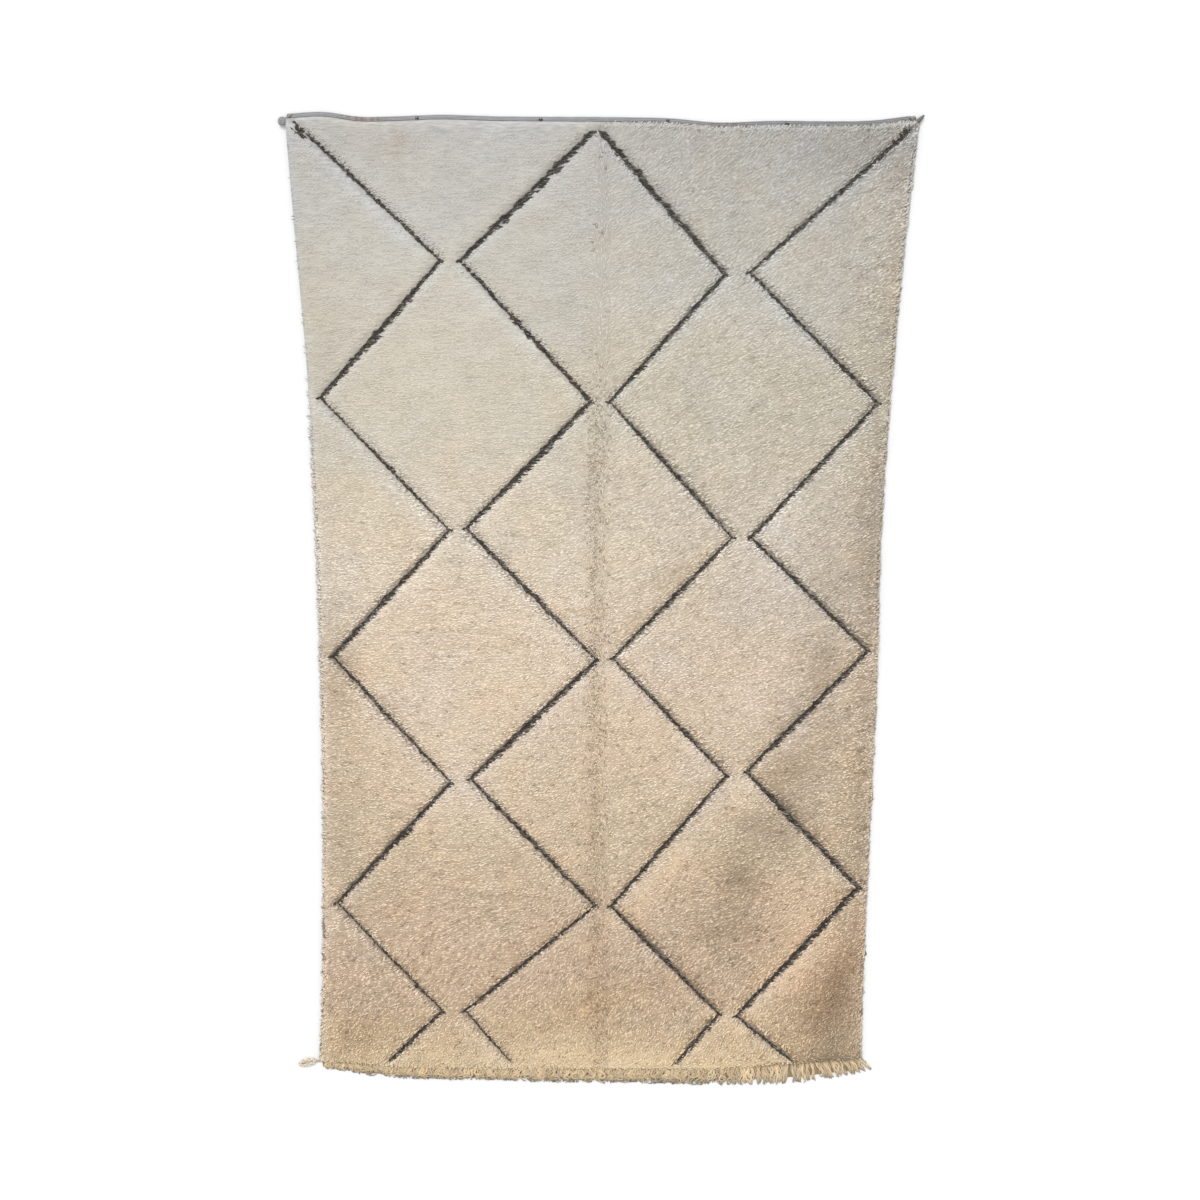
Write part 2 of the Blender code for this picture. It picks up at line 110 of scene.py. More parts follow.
# Turning points of the four dark lines, from the plain end to the fringe, and half the width of the line
# from there to the next
LINES = (
    table(
        "across along half",
        (-0.775, 1.315, 0.0046),
        (-0.410, 0.970, 0.0052),
        (-0.730, 0.620, 0.0036),
        (-0.400, 0.270, 0.0046),
        (-0.720, -0.075, 0.0036),
        (-0.410, -0.430, 0.0044),
        (-0.730, -0.780, 0.0026),
        (-0.445, -1.105, 0.0036),
        (-0.600, -1.260, 0.0036),
    ),
    table(
        "across along half",
        (-0.020, 1.290, 0.0070),
        (-0.360, 0.970, 0.0052),
        (-0.025, 0.610, 0.0056),
        (-0.355, 0.275, 0.0044),
        (-0.010, -0.085, 0.0056),
        (-0.355, -0.420, 0.0050),
        (-0.015, -0.790, 0.0034),
        (-0.380, -1.105, 0.0024),
        (-0.255, -1.260, 0.0024),
    ),
    table(
        "across along half",
        (0.000, 1.290, 0.0066),
        (0.320, 0.935, 0.0036),
        (0.025, 0.610, 0.0044),
        (0.350, 0.250, 0.0034),
        (0.035, -0.080, 0.0044),
        (0.345, -0.410, 0.0034),
        (0.030, -0.790, 0.0044),
        (0.335, -1.115, 0.0036),
        (0.215, -1.265, 0.0036),
    ),
    table(
        "across along half",
        (0.785, 1.295, 0.0040),
        (0.385, 0.940, 0.0048),
        (0.725, 0.605, 0.0036),
        (0.400, 0.250, 0.0048),
        (0.720, -0.060, 0.0040),
        (0.400, -0.400, 0.0056),
        (0.715, -0.735, 0.0050),
        (0.385, -1.120, 0.0040),
        (0.545, -1.260, 0.0040),
    ),
)

# Soft troughs in the pile
DIPS = table(
    "across along half_across half_along depth",
    (-0.200, 0.065, 0.200, 0.030, 0.0020),
    (-0.250, -0.770, 0.220, 0.030, 0.0020),
    (0.680, -0.950, 0.045, 0.330, 0.0030),
    (0.470, -0.720, 0.100, 0.120, 0.0025),
)

# Ivory of the pile along the rug, as sRGB values of the lit wool. Its drift from a darker cool grey at the
# plain end to warm cream towards the fringe is painted light: cooler light at one end, warmer at the other
SHADES = table(
    "along red green blue",
    (-1.290, 197, 180, 151),
    (-1.000, 190, 171, 148),
    (-0.620, 197, 181, 158),
    (-0.240, 204, 188, 167),
    (0.150, 202, 190, 172),
    (0.600, 190, 183, 168),
    (1.000, 181, 177, 168),
    (1.330, 173, 171, 167),
)

# Lighter and darker places of the pile, each fading outwards: mostly painted light and shade of its folds,
# creases, swells and rolled right edge, a few of them the wool's own tone
PATCHES = table(
    "across along half_across half_along turn light warm",
    (0.390, -0.710, 0.070, 0.090, 20, -0.30, 0.03),
    (0.030, -1.070, 0.190, 0.050, 18, -0.10, 0.03),
    (0.668, -1.010, 0.120, 0.040, 66, -0.28, 0.05),
    (0.650, -1.150, 0.080, 0.110, 0, -0.32, 0.02),
    (0.505, -1.010, 0.130, 0.045, 50, 0.54, -0.02),
    (0.570, -0.810, 0.100, 0.150, 0, 0.30, -0.01),
    (0.390, -1.150, 0.080, 0.055, 0, 0.24, 0.00),
    (0.170, -0.690, 0.230, 0.050, 46, 0.27, -0.01),
    (0.680, 1.235, 0.140, 0.080, 0, -0.13, 0.00),
    (0.730, 0.220, 0.055, 0.330, 0, -0.23, 0.01),
    (0.600, -0.140, 0.060, 0.280, 0, -0.19, 0.01),
    (-0.690, -0.130, 0.055, 0.130, 0, -0.31, 0.03),
    (-0.380, -0.430, 0.130, 0.110, 0, 0.12, -0.03),
    (0.270, -0.380, 0.100, 0.120, 0, 0.09, -0.01),
    (0.430, 0.250, 0.090, 0.090, 0, 0.09, -0.01),
    (0.505, -0.550, 0.060, 0.090, 0, -0.29, 0.01),
    (-0.470, 0.120, 0.060, 0.060, 0, 0.09, -0.01),
    (-0.370, -1.150, 0.080, 0.060, 0, 0.10, 0.00),
    (-0.720, 0.740, 0.050, 0.070, 0, -0.10, -0.01),
    (0.400, 0.000, 0.380, 0.450, 0, 0.00, -0.018),
    (-0.680, -1.180, 0.090, 0.060, 20, -0.22, 0.02),
    (0.040, -1.260, 0.540, 0.055, 0, 0.36, 0.000),
    (-0.497, 1.273, 0.018, 0.013, 10, -0.10, 0.03),
    (-0.530, 1.250, 0.060, 0.030, 10, -0.03, 0.008),
    (0.225, 0.150, 0.090, 0.045, 40, -0.10, 0.04),
    (0.110, 0.020, 0.070, 0.030, 30, -0.07, 0.03),
    (0.500, -0.395, 0.080, 0.045, 20, -0.15, 0.04),
    (0.330, -0.880, 0.190, 0.030, 6, -0.06, 0.01),
    (0.720, -0.300, 0.040, 0.600, 0, -0.13, 0.01),
    (0.760, 0.750, 0.028, 0.450, 0, -0.09, 0.03),
    (-0.085, 0.072, 0.085, 0.011, 2, 0.12, 0.00),
    (-0.085, 0.046, 0.085, 0.014, 0, -0.10, 0.03),
    (-0.330, 0.018, 0.120, 0.008, -3, 0.07, 0.00),
    (-0.320, -0.003, 0.130, 0.009, -2, -0.07, 0.02),
    (-0.300, -0.022, 0.110, 0.008, 2, 0.06, 0.00),
    (-0.340, -0.044, 0.140, 0.010, 0, -0.06, 0.02),
    (-0.222, -0.761, 0.150, 0.009, -4, -0.13, 0.02),
    (-0.369, -0.717, 0.050, 0.024, 10, -0.10, 0.02),
    (-0.250, -0.735, 0.130, 0.014, -4, 0.05, 0.00),
    (0.650, -1.255, 0.100, 0.035, 0, -0.30, 0.02),
    (-0.700, -0.560, 0.050, 0.180, 0, -0.12, 0.01),
    (0.420, 0.800, 0.300, 0.150, 0, 0.085, -0.01),
    (0.730, -0.560, 0.050, 0.080, 0, -0.14, 0.01),
    (0.400, -0.200, 0.060, 0.060, 0, 0.12, -0.01),
    (0.400, -0.450, 0.050, 0.050, 0, 0.13, -0.01),
    (-0.470, -0.200, 0.090, 0.140, 0, 0.02, -0.03),
    (0.620, -0.950, 0.130, 0.300, 0, 0.00, 0.03),
    (0.720, 1.080, 0.080, 0.120, 0, 0.12, 0.01),
    (0.550, 1.270, 0.090, 0.040, 0, -0.08, 0.00),
    (-0.720, -0.200, 0.050, 0.900, 0, -0.06, 0.00),
    (-0.580, -0.620, 0.090, 0.220, 0, -0.09, 0.01),
    (0.190, 0.130, 0.080, 0.080, 0, -0.08, 0.00),
    (-0.260, -0.660, 0.120, 0.060, 0, -0.07, 0.01),
    (0.345, -0.860, 0.080, 0.080, 0, -0.17, 0.01),
    (0.510, -0.380, 0.060, 0.080, 0, -0.12, 0.00),
    (0.690, -0.800, 0.060, 0.060, 0, -0.14, 0.01),
    (0.120, 0.010, 0.090, 0.050, 30, -0.07, 0.00),
    (0.420, 0.330, 0.200, 0.130, 0, -0.06, 0.00),
    (0.590, -0.130, 0.050, 0.060, 0, -0.07, 0.00),
    (0.640, -1.260, 0.120, 0.040, 0, -0.14, 0.02),
    (-0.640, -1.060, 0.120, 0.090, 0, -0.09, -0.01),
    (0.620, 0.110, 0.060, 0.060, 0, -0.09, 0.00),
    (0.750, -0.230, 0.030, 0.070, 0, -0.08, 0.00),
    (0.400, -0.555, 0.050, 0.050, 0, -0.12, 0.00),
    (0.510, -0.220, 0.050, 0.050, 0, -0.10, 0.00),
    (-0.570, -0.220, 0.050, 0.060, 0, -0.10, 0.00),
    (-0.310, -0.790, 0.090, 0.050, 0, -0.10, 0.00),
    (0.500, 0.335, 0.050, 0.050, 0, 0.11, -0.01),
)

# Rise of the lying pile towards the right, in degrees: far left, left of the parting, and right of it
LAYS = table(
    "along left inner right",
    (-1.260, 46, 64, 58),
    (-1.060, 30, 52, 44),
    (-0.850, 15, 42, 30),
    (-0.500, 5, 34, 20),
    (-0.200, 3, 30, 15),
    (0.300, 4, 18, 22),
    (0.800, 6, 14, 25),
    (1.150, 18, 26, 36),
    (1.320, 40, 42, 50),
)

# Unevenness of the locks
ROUGHS = table(
    "along left right",
    (-1.270, 1.30, 1.40),
    (-0.900, 1.10, 1.35),
    (-0.300, 0.90, 1.00),
    (0.150, 0.70, 0.80),
    (0.600, 0.32, 0.70),
    (1.000, 0.13, 0.55),
    (1.320, 0.08, 0.60),
)

# Spindle-shaped locks of pile: spacing of the roots, share of the length where a lock is thickest, and the
# lowest that a lock may lie
LOCK_ROW = 0.0033
LOCK_STEP = 0.0112
LOCK_WIDTH = 0.0042
LOCK_BELLY = 0.45
LOCK_FLOOR = 0.0035
ROOTS_ACROSS = (-0.81, 0.81)
ROOTS_ALONG = (-1.290, 1.330)
LINE_ROOTS_ALONG = (-1.270, 1.310)
RIM_TRIES = 90000
LINE_TRIES = 60000
PILE_PIECES = 5
RIPPLE = 0.0083
DARKEST = 0.44
# Curly wool along the parting, and the small locks that lie across it
PARTING_PLACE = -0.014
PARTING_SPREAD = 0.044
PARTING_ROOTS = 0.024
SPECK_SHARE = 0.75
# Share of the specks that are darker: painted shade between the parting's curls
DARK_SPECKS = 0.62
# Gain on all pale wool, so that the render is as bright as the photo
WOOL_GAIN = 1.16
SEED = 20240

rng = np.random.default_rng(SEED)


# ---- shapes shared by all pieces


def through(rows, at, column="along"):
    """Values at `at` of the smooth curve through a column of rows, by place in the first column."""
    at = np.asarray(at, float)
    places = np.array([row[0] for row in rows], float)
    values = np.array([getattr(row, column) for row in rows], float)
    slopes = np.empty(len(rows))
    for k in range(len(rows)):
        before, after = max(k - 1, 0), min(k + 1, len(rows) - 1)
        slopes[k] = (values[after] - values[before]) / (places[after] - places[before])
    i = np.clip(np.searchsorted(places, at, side="right") - 1, 0, len(rows) - 2)
    span = places[i + 1] - places[i]
    t = np.clip((at - places[i]) / span, 0.0, 1.0)
    rise = (3 - 2 * t) * t * t
    return (
        values[i]
        + (values[i + 1] - values[i]) * rise
        + span * slopes[i] * t * (1 - t) ** 2
        - span * slopes[i + 1] * t * t * (1 - t)
    )


def left_side(y):
    return -through(SIDES, y, "left")


def right_side(y):
    return through(SIDES, y, "right")


def plain_end(x):
    return through(PLAIN_END, x)


def fringed_end(x):
    return through(FRINGED_END, x)


def field(x, y, size, level=0.0, stretch=1.0):
    """Smooth noise from about -1 to 1 at each place."""
    x, y = np.broadcast_arrays(np.asarray(x, float), np.asarray(y, float))
    read = noise.noise
    a, b = (x / (size * stretch)).ravel(), (y / size).ravel()
    found = [read((p, q, level)) for p, q in zip(a.tolist(), b.tolist())]
    return np.array(found).reshape(x.shape)


def smooth(t):
    t = np.clip(t, 0.0, 1.0)
    return t * t * (3 - 2 * t)


def nearest_line(x, y):
    """Distance to the nearest dark line, how far a place is below it (-1 to 1) and half its width."""
    x, y = np.asarray(x, float), np.asarray(y, float)
    best = np.full(x.shape, 9.0)
    below, wide = np.zeros(x.shape), np.zeros(x.shape)
    for line in LINES:
        for start, end in zip(line, line[1:]):
            dx, dy = end.across - start.across, end.along - start.along
            t = np.clip(((x - start.across) * dx + (y - start.along) * dy) / (dx * dx + dy * dy), 0, 1)
            off_x, off_y = x - start.across - t * dx, y - start.along - t * dy
            gap = np.hypot(off_x, off_y)
            near = gap < best
            best = np.where(near, gap, best)
            below = np.where(near, -off_y / np.maximum(gap, 1e-6), below)
            wide = np.where(near, start.half * taper(t), wide)
    return best, below, wide


def taper(t):
    """Share of a line's width along it from one turn to the next."""
    return 0.66 + 0.46 * np.sin(pi * np.clip(t, 0, 1)) ** 0.8


def pile_top(x, y):
    """Height of the pile, without the grooves and the rounding at the rim."""
    height = PILE_TOP + LUMP_HEIGHT * field(x, y, LUMP_SIZE)
    height += SWELL_HEIGHT * field(x, y, SWELL_SIZE)
    for dip in DIPS:
        off = np.hypot((x - dip.across) / dip.half_across, (y - dip.along) / dip.half_along)
        height -= np.where(off < 1, dip.depth * (0.5 + 0.5 * np.cos(pi * np.minimum(off, 1))), 0)
    wander = 0.010 * field(0 * x, y, 0.10, 39.0)
    parting = (1 - smooth(np.abs(x + wander) / PARTING_HALF)) * smooth((1.0 - y) / 0.4)
    return height - PARTING_DEPTH * parting


def groove(gap):
    """How far the pile stands above or below its level beside a dark line."""
    bed = -GROOVE_DEPTH * (1 - smooth(gap / GROOVE_HALF))
    away = (gap - GROOVE_HALF) / SHOULDER_WIDTH
    shoulder = SHOULDER_HEIGHT * np.sin(pi * np.clip(away + 0.3, 0, 1)) ** 2
    return bed + shoulder


def inside(x, y):
    """Distance inside the edge of the pile: nearest side or fringed end, and the plain end's band."""
    sides = np.minimum(x - left_side(y), right_side(y) - x)
    return np.minimum(sides, y - fringed_end(x)), plain_end(x) - BAND_DEPTH - y


def surface(x, y, gap=None):
    """Height of the pile's top, rounded off at the rim and sloping to the woven band."""
    gap = nearest_line(x, y)[0] if gap is None else gap
    full = pile_top(x, y) + groove(gap)
    edge, band = inside(x, y)
    rim = RIM_HEIGHT + (full - RIM_HEIGHT) * np.sqrt(np.clip((edge + 0.004) / 0.026, 0, 1))
    slope = BAND_SIDE_HEIGHT + (full - BAND_SIDE_HEIGHT) * np.sqrt(np.clip((band + 0.001) / 0.014, 0, 1))
    return np.minimum(rim, slope)


def nap(x, y):
    """Angle in which the pile lies: away from the parting on both sides."""
    rise = through(LAYS, y, "left")
    rise = rise + (through(LAYS, y, "inner") - rise) * smooth((x + 0.34) / 0.30)
    left = pi + np.radians(rise) + 0.16 * field(x, y, 0.11, 21.0) + 0.10 * field(x, y, 0.4, 22.0)
    right = np.radians(through(LAYS, y, "right")) + 0.16 * field(x, y, 0.11, 23.0)
    right = right + 0.12 * field(x, y, 0.4, 24.0)
    over = smooth((x + 0.02 * field(x, y, 0.09, 25.0) + 0.030) / 0.06)
    return left + (right - left) * over + 0.30 * field(x, y, 0.030, 26.0)


def rough(x, y):
    """How uneven the locks are, about 0 to 1.4."""
    over = smooth((x + 0.30) / 0.6)
    side = 0.35 * smooth((x - 0.58) / 0.16) * smooth((y + 1.0) / 0.5)
    return through(ROUGHS, y, "left") * (1 - over) + through(ROUGHS, y, "right") * over + side


def calm(x, y, span=0.3):
    """How calm the pile is: 1 where its locks are even, and 0 where they are uneven."""
    return 1 - smooth((rough(x, y) - 0.25) / span)


def lengthwise(x, y, angle):
    """Places measured along a direction and across it."""
    c, s = np.cos(angle), np.sin(angle)
    return x * c + y * s, y * c - x * s


# ---- colour


def linear(rgb):
    """Linear light values of sRGB numbers from 0 to 255."""
    c = np.asarray(rgb, float) / 255
    return np.where(c <= 0.04045, c / 12.92, ((c + 0.055) / 1.055) ** 2.4)


def combed(x, y):
    """Share of the curly wool along the parting: hardly any at the plain end."""
    wander = 0.008 * field(0 * x, y, 0.15, 38.0)
    near = 1 - smooth(np.abs(x - PARTING_PLACE + wander) / PARTING_SPREAD)
    return near * (0.05 + 0.95 * smooth((0.80 - y) / 0.35))


def wool(x, y, gap, below):
    """Colour of the ivory pile at each place, linear, one row a place, with painted light and shade in it.
    """
    shade = np.stack([through(SHADES, y, column) for column in ("red", "green", "blue")], -1)
    light = 1.03 - 0.10 * smooth((x + 0.2) / 0.9) - 0.06 * smooth((x - 0.3) / 0.4) * smooth((0.1 - y) / 0.9)
    light = light + 0.04 * field(x, y, 0.30, 31.0) + 0.05 * field(x, y, 0.10, 32.0)
    along, across = lengthwise(x, y, 0.42 * smooth((x + 0.1) / 0.2))
    light = light + 0.08 * rough(x, y) * field(along, across, 0.018, 35.0, 4.0)
    light = light + 0.09 * rough(x, y)
    left_rim = 1 - smooth((x - left_side(y)) / 0.026)
    warm = 0.5 * (0.045 * field(x, y, 0.20, 33.0) + 0.03 * field(x, y, 0.07, 34.0))
    for patch in PATCHES:
        c, s = cos(radians(patch.turn)), sin(radians(patch.turn))
        dx, dy = x - patch.across, y - patch.along
        off = np.hypot((dx * c + dy * s) / patch.half_across, (dy * c - dx * s) / patch.half_along)
        near = np.exp(-off ** 2)
        light = light + patch.light * near
        warm = warm + patch.warm * near
    # Painted light and shade beside the dark lines: the pile just below a line, whose shoulder faces the
    # light from the plain end, is lighter and cooler; the pile just above it is darker and browner
    under = np.clip(below * 1.6, 0, 1)
    over = np.clip(-below * 1.6, 0, 1)
    painted_groove_light = under * np.exp(-(np.maximum(gap - 0.012, 0) / 0.022) ** 2)
    painted_groove_shade = over * np.exp(-(np.maximum(gap - 0.008, 0) / 0.026) ** 2)
    low = smooth((0.9 - y) / 1.4)
    shady = smooth((0.35 - y) / 0.9) * (0.4 + 0.6 * smooth((x + 0.4) / 0.7))
    light = light + (0.09 + 0.05 * low) * painted_groove_light - 0.14 * shady * painted_groove_shade
    warm = warm + 0.024 * painted_groove_shade * shady - 0.024 * painted_groove_light
    light = light + (0.02 + 0.08 * field(x, y, 0.009, 36.0, 0.7)) * combed(x, y)
    warm = warm + 0.006 * combed(x, y) - 0.035 * left_rim
    tone = np.stack([1 + warm, 1 - 0.6 * np.maximum(warm, 0), 1 - 2.4 * warm], -1)
    return linear(shade) * WOOL_GAIN * light[..., None] * tone


def capped(colour):
    """Colours no brighter than white wool, with their hue kept."""
    brightest = colour.max(-1, keepdims=True)
    return np.maximum(colour * np.minimum(1, 0.90 / brightest), 0.01)


# ---- mesh helpers


def placed(name, data):
    """A new object in the scene."""
    made = bpy.data.objects.new(name, data)
    bpy.context.scene.collection.objects.link(made)
    return made


def mesh_piece(name, points, faces, sizes, *looks):
    """A mesh object from arrays: points (n, 3), corner vertices in one row, and corners of each face."""
    mesh = bpy.data.meshes.new(name)
    mesh.vertices.add(len(points))
    mesh.vertices.foreach_set("co", np.ascontiguousarray(points, np.float32).ravel())
    mesh.loops.add(len(faces))
    mesh.loops.foreach_set("vertex_index", np.ascontiguousarray(faces, np.int32))
    starts = np.concatenate([[0], np.cumsum(sizes)[:-1]]).astype(np.int32)
    mesh.polygons.add(len(sizes))
    mesh.polygons.foreach_set("loop_start", starts)
    mesh.update(calc_edges=True)
    mesh.validate()
    mesh.polygons.foreach_set("use_smooth", np.ones(len(mesh.polygons), bool))
    for look in looks:
        mesh.materials.append(look)
    return placed(name, mesh)


def put_wool(piece, rgb, place):
    """What the wool materials read at each point: its colour, and its place along the fibres."""
    colours = piece.data.color_attributes.new("wool", "FLOAT_COLOR", "POINT")
    rgba = np.concatenate([rgb, np.ones((len(rgb), 1))], 1).astype(np.float32)
    colours.data.foreach_set("color", rgba.ravel())
    fibres = piece.data.attributes.new("fibre", "FLOAT_VECTOR", "POINT")
    fibres.data.foreach_set("vector", np.ascontiguousarray(place, np.float32).ravel())


def put_map(piece, uv):
    """The map that a bake may use: one (u, v) a corner."""
    layer = piece.data.uv_layers.new(name="OFBake")
    layer.uv.foreach_set("vector", np.ascontiguousarray(uv, np.float32).ravel())


def map_cells(count):
    """Corners of a square grid of cells over the map, one for each lock or yarn, and the cells in a row."""
    wide = int(np.ceil(np.sqrt(count)))
    k = np.arange(count)
    return np.stack([k % wide, k // wide], 1) / wide, wide


# A lock: its root, a ring of three points round its belly, and its tip
LOCK_FACES = np.array([(0, 2, 1), (0, 3, 2), (0, 1, 3), (1, 2, 4), (2, 3, 4), (3, 1, 4)])
LOCK_ALONG = np.array([0.0, LOCK_BELLY, LOCK_BELLY, LOCK_BELLY, 1.0])
# How bright each of these points is where the locks are uneven: painted shade, darkest at the root; how
# strongly that shows in red, green and blue; and the place of each point across the fibres
LOCK_SHADES = np.array([0.70, 0.97, 0.97, 0.97, 1.02])
SHADE_TINT = np.array([0.9, 1.05, 1.5])
LOCK_ACROSS = np.array([0.0, 0.0, 0.002, 0.004, 0.002])
# Shift of the fibres' pattern from one lock or yarn to the next
FIBRE_SHIFT = 0.37
LOCK_INSET = 0.08


def lock_cells():
    """Place of each corner of a lock's faces in the lock's own cell of the map, across and along."""
    cells = np.zeros((len(LOCK_FACES), 3, 2))
    for f, face in enumerate(LOCK_FACES.tolist()):
        ring = {v: v / 3 for v in face if 1 <= v <= 3}
        if 1 in ring and 3 in ring:
            ring[3] = 0.0
        middle = sum(ring.values()) / 2
        cells[f] = [(ring.get(v, middle), LOCK_ALONG[v]) for v in face]
    return cells


def lock_map(count):
    """A grid of cells over the map, one for each lock."""
    corner, wide = map_cells(count)
    cell = LOCK_INSET + (1 - 2 * LOCK_INSET) * lock_cells()
    uv = corner[:, None, None, :] + cell[None] / wide
    return uv.reshape(-1, 2)


def locks(name, look, x, y, angle, length, width, lift, colour, uneven, sink):
    """A piece of joined locks that lie on the pile's top from their roots at (x, y)."""
    count = len(x)
    c, s = np.cos(angle)[:, None], np.sin(angle)[:, None]
    part = np.array([0.0, LOCK_BELLY, 1.0])
    bow = (rng.normal(0, 1, count) * (0.03 + 0.12 * uneven))[:, None] * np.array([0.0, 1.0, 0.0])
    px = x[:, None] + (c * part - s * bow) * length[:, None]
    py = y[:, None] + (s * part + c * bow) * length[:, None]
    points = np.zeros((count, 5, 3))
    points[:, 0, 0], points[:, 0, 1] = px[:, 0], py[:, 0]
    points[:, 4, 0], points[:, 4, 1] = px[:, 2], py[:, 2]
    points[:, 0, 2] = (-0.0030 - 0.0030 * uneven) * sink + 0.2 * lift
    points[:, 4, 2] = (-0.0018 - 0.0014 * uneven) * sink + 0.5 * lift
    roll = rng.normal(0, 0.16, count) * uneven
    flat = 0.24 + 0.40 * np.minimum(uneven, 1.2)
    for spoke in range(3):
        turn = pi / 2 + spoke * tau / 3 + roll
        out = width / 2 * np.cos(turn) * 1.12
        points[:, 1 + spoke, 0] = px[:, 1] - np.sin(angle) * out
        points[:, 1 + spoke, 1] = py[:, 1] + np.cos(angle) * out
        points[:, 1 + spoke, 2] = -0.0010 * sink + lift + width / 2 * np.sin(turn) * flat
    level = surface(points[:, :, 0], points[:, :, 1])
    edge = inside(points[:, :, 0], points[:, :, 1])[0]
    points[:, :, 2] = np.maximum(points[:, :, 2] + level - np.clip(-edge, 0, 0.012) * 0.7, LOCK_FLOOR)
    faces = (LOCK_FACES[None] + 5 * np.arange(count)[:, None, None]).ravel()
    piece = mesh_piece(name, points.reshape(-1, 3), faces, np.full(len(LOCK_FACES) * count, 3), look)
    # Painted shade: each lock darker and warmer towards its root, where it sinks into the pile
    shade = (1 - LOCK_SHADES)[None, :, None] * SHADE_TINT
    root_shade = 1 - shade * (np.minimum(uneven, 1.3) * sink)[:, None, None]
    place = np.empty((count, 5, 3))
    place[:, :, 0] = LOCK_ALONG * length[:, None]
    place[:, :, 1] = LOCK_ACROSS
    place[:, :, 2] = np.arange(count)[:, None] * FIBRE_SHIFT
    put_wool(piece, (colour[:, None, :] * root_shade).reshape(-1, 3), place.reshape(-1, 3))
    put_map(piece, lock_map(count))
    return piece


# ---- materials


def material(name):
    made = bpy.data.materials.new(name)
    made.use_nodes = True
    tree = made.node_tree
    return made, tree, tree.nodes["Principled BSDF"]


def set_inputs(tree, target, inputs):
    """Inputs of a node: another node's output is linked, and anything else is a fixed value."""
    for name, value in inputs.items():
        if isinstance(value, bpy.types.NodeSocket):
            tree.links.new(value, target.inputs[name])
        else:
            target.inputs[name].default_value = value


def node(tree, kind, inputs, **settings):
    """The outputs of a new shader node."""
    made = tree.nodes.new("ShaderNode" + kind)
    for key, value in settings.items():
        setattr(made, key, value)
    set_inputs(tree, made, inputs)
    return made.outputs


def grained(tree, place, scale, detail):
    """Noise drawn out along the fibres."""
    scaled = node(tree, "Mapping", {"Vector": place, "Scale": scale})["Vector"]
    return node(tree, "TexNoise", {"Vector": scaled, "Scale": 1.0, "Detail": detail})["Fac"]


def matte(tree, shader, colour, tone, height, strength, depth):
    """A colour made lighter and darker by a tone, and a relief."""
    lit = node(tree, "VectorMath", {"Vector": colour, "Scale": tone}, operation="SCALE")["Vector"]
    relief = node(tree, "Bump", {"Height": height, "Strength": strength, "Distance": depth})["Normal"]
    set_inputs(tree, shader, {"Base Color": lit, "Normal": relief})


def wool_material(name, grain=(9.0, 900.0, 1.0), depth=0.0006, sheen=0.25):
    """Matte wool: a colour for each lock, darker and lighter fibres along it, and a fine fibre relief."""
    made, tree, shader = material(name)
    colour = node(tree, "Attribute", {}, attribute_name="wool")["Vector"]
    place = node(tree, "Attribute", {}, attribute_name="fibre")["Vector"]
    fibres = grained(tree, place, grain, 3.0)
    span = {"From Min": 0.3, "From Max": 0.7, "To Min": 0.90, "To Max": 1.08}
    tone = node(tree, "MapRange", {"Value": fibres, **span})["Result"]
    matte(tree, shader, colour, tone, fibres, 0.5, depth)
    set_inputs(tree, shader, {"Roughness": 0.92, "Specular IOR Level": 0.25})
    set_inputs(tree, shader, {"Sheen Weight": sheen, "Sheen Roughness": 0.6})
    return made


def base_material():
    """Wool between the locks: streaks along the nap in colour and in relief."""
    made, tree, shader = material("pile_wool_base")
    colour = node(tree, "Attribute", {}, attribute_name="wool")["Vector"]
    place = node(tree, "Attribute", {}, attribute_name="fibre")["Vector"]
    streaks = grained(tree, place, (34.0, 190.0, 60.0), 2.0)
    fibres = grained(tree, place, (110.0, 900.0, 60.0), 2.0)
    both = node(tree, "Math", {0: fibres, 1: 0.3, 2: streaks}, operation="MULTIPLY_ADD")["Value"]
    span = {"From Min": 0.40, "From Max": 0.92, "To Min": 0.72, "To Max": 1.10}
    tone = node(tree, "MapRange", {"Value": both, **span})["Result"]
    matte(tree, shader, colour, tone, both, 0.8, 0.0030)
    set_inputs(tree, shader, {"Roughness": 0.95, "Specular IOR Level": 0.2})
    set_inputs(tree, shader, {"Sheen Weight": 0.25, "Sheen Roughness": 0.6})
    return made


def woven_material():
    """Flat-woven ground: weft ribs across the rug, crossed by the warp."""
    made, tree, shader = material("woven_ground")
    place = node(tree, "TexCoord", {})["Object"]
    bends = {"Distortion": 1.2, "Detail": 1.5, "Detail Scale": 2.0}
    weft = node(tree, "TexWave", {"Vector": place, "Scale": 130.0, **bends}, bands_direction="Y")["Fac"]
    warp = node(tree, "TexWave", {"Vector": place, "Scale": 95.0, **bends}, bands_direction="X")["Fac"]
    weave = node(tree, "Math", {0: weft, 1: warp}, operation="MULTIPLY")["Value"]
    mottle = node(tree, "TexNoise", {"Vector": place, "Scale": 28.0, "Detail": 4.0})["Fac"]
    tint = tree.nodes.new("ShaderNodeValToRGB")
    dark, pale = tint.color_ramp.elements
    dark.position, dark.color = 0.35, (0.50, 0.45, 0.37, 1)
    pale.position, pale.color = 0.65, (0.60, 0.55, 0.46, 1)
    set_inputs(tree, tint, {"Fac": mottle})
    shade = node(tree, "MapRange", {"Value": weave, "To Min": 0.62, "To Max": 1.05})["Result"]
    matte(tree, shader, tint.outputs["Color"], shade, weave, 0.8, 0.0008)
    set_inputs(tree, shader, {"Roughness": 0.95, "Specular IOR Level": 0.2})
    return made


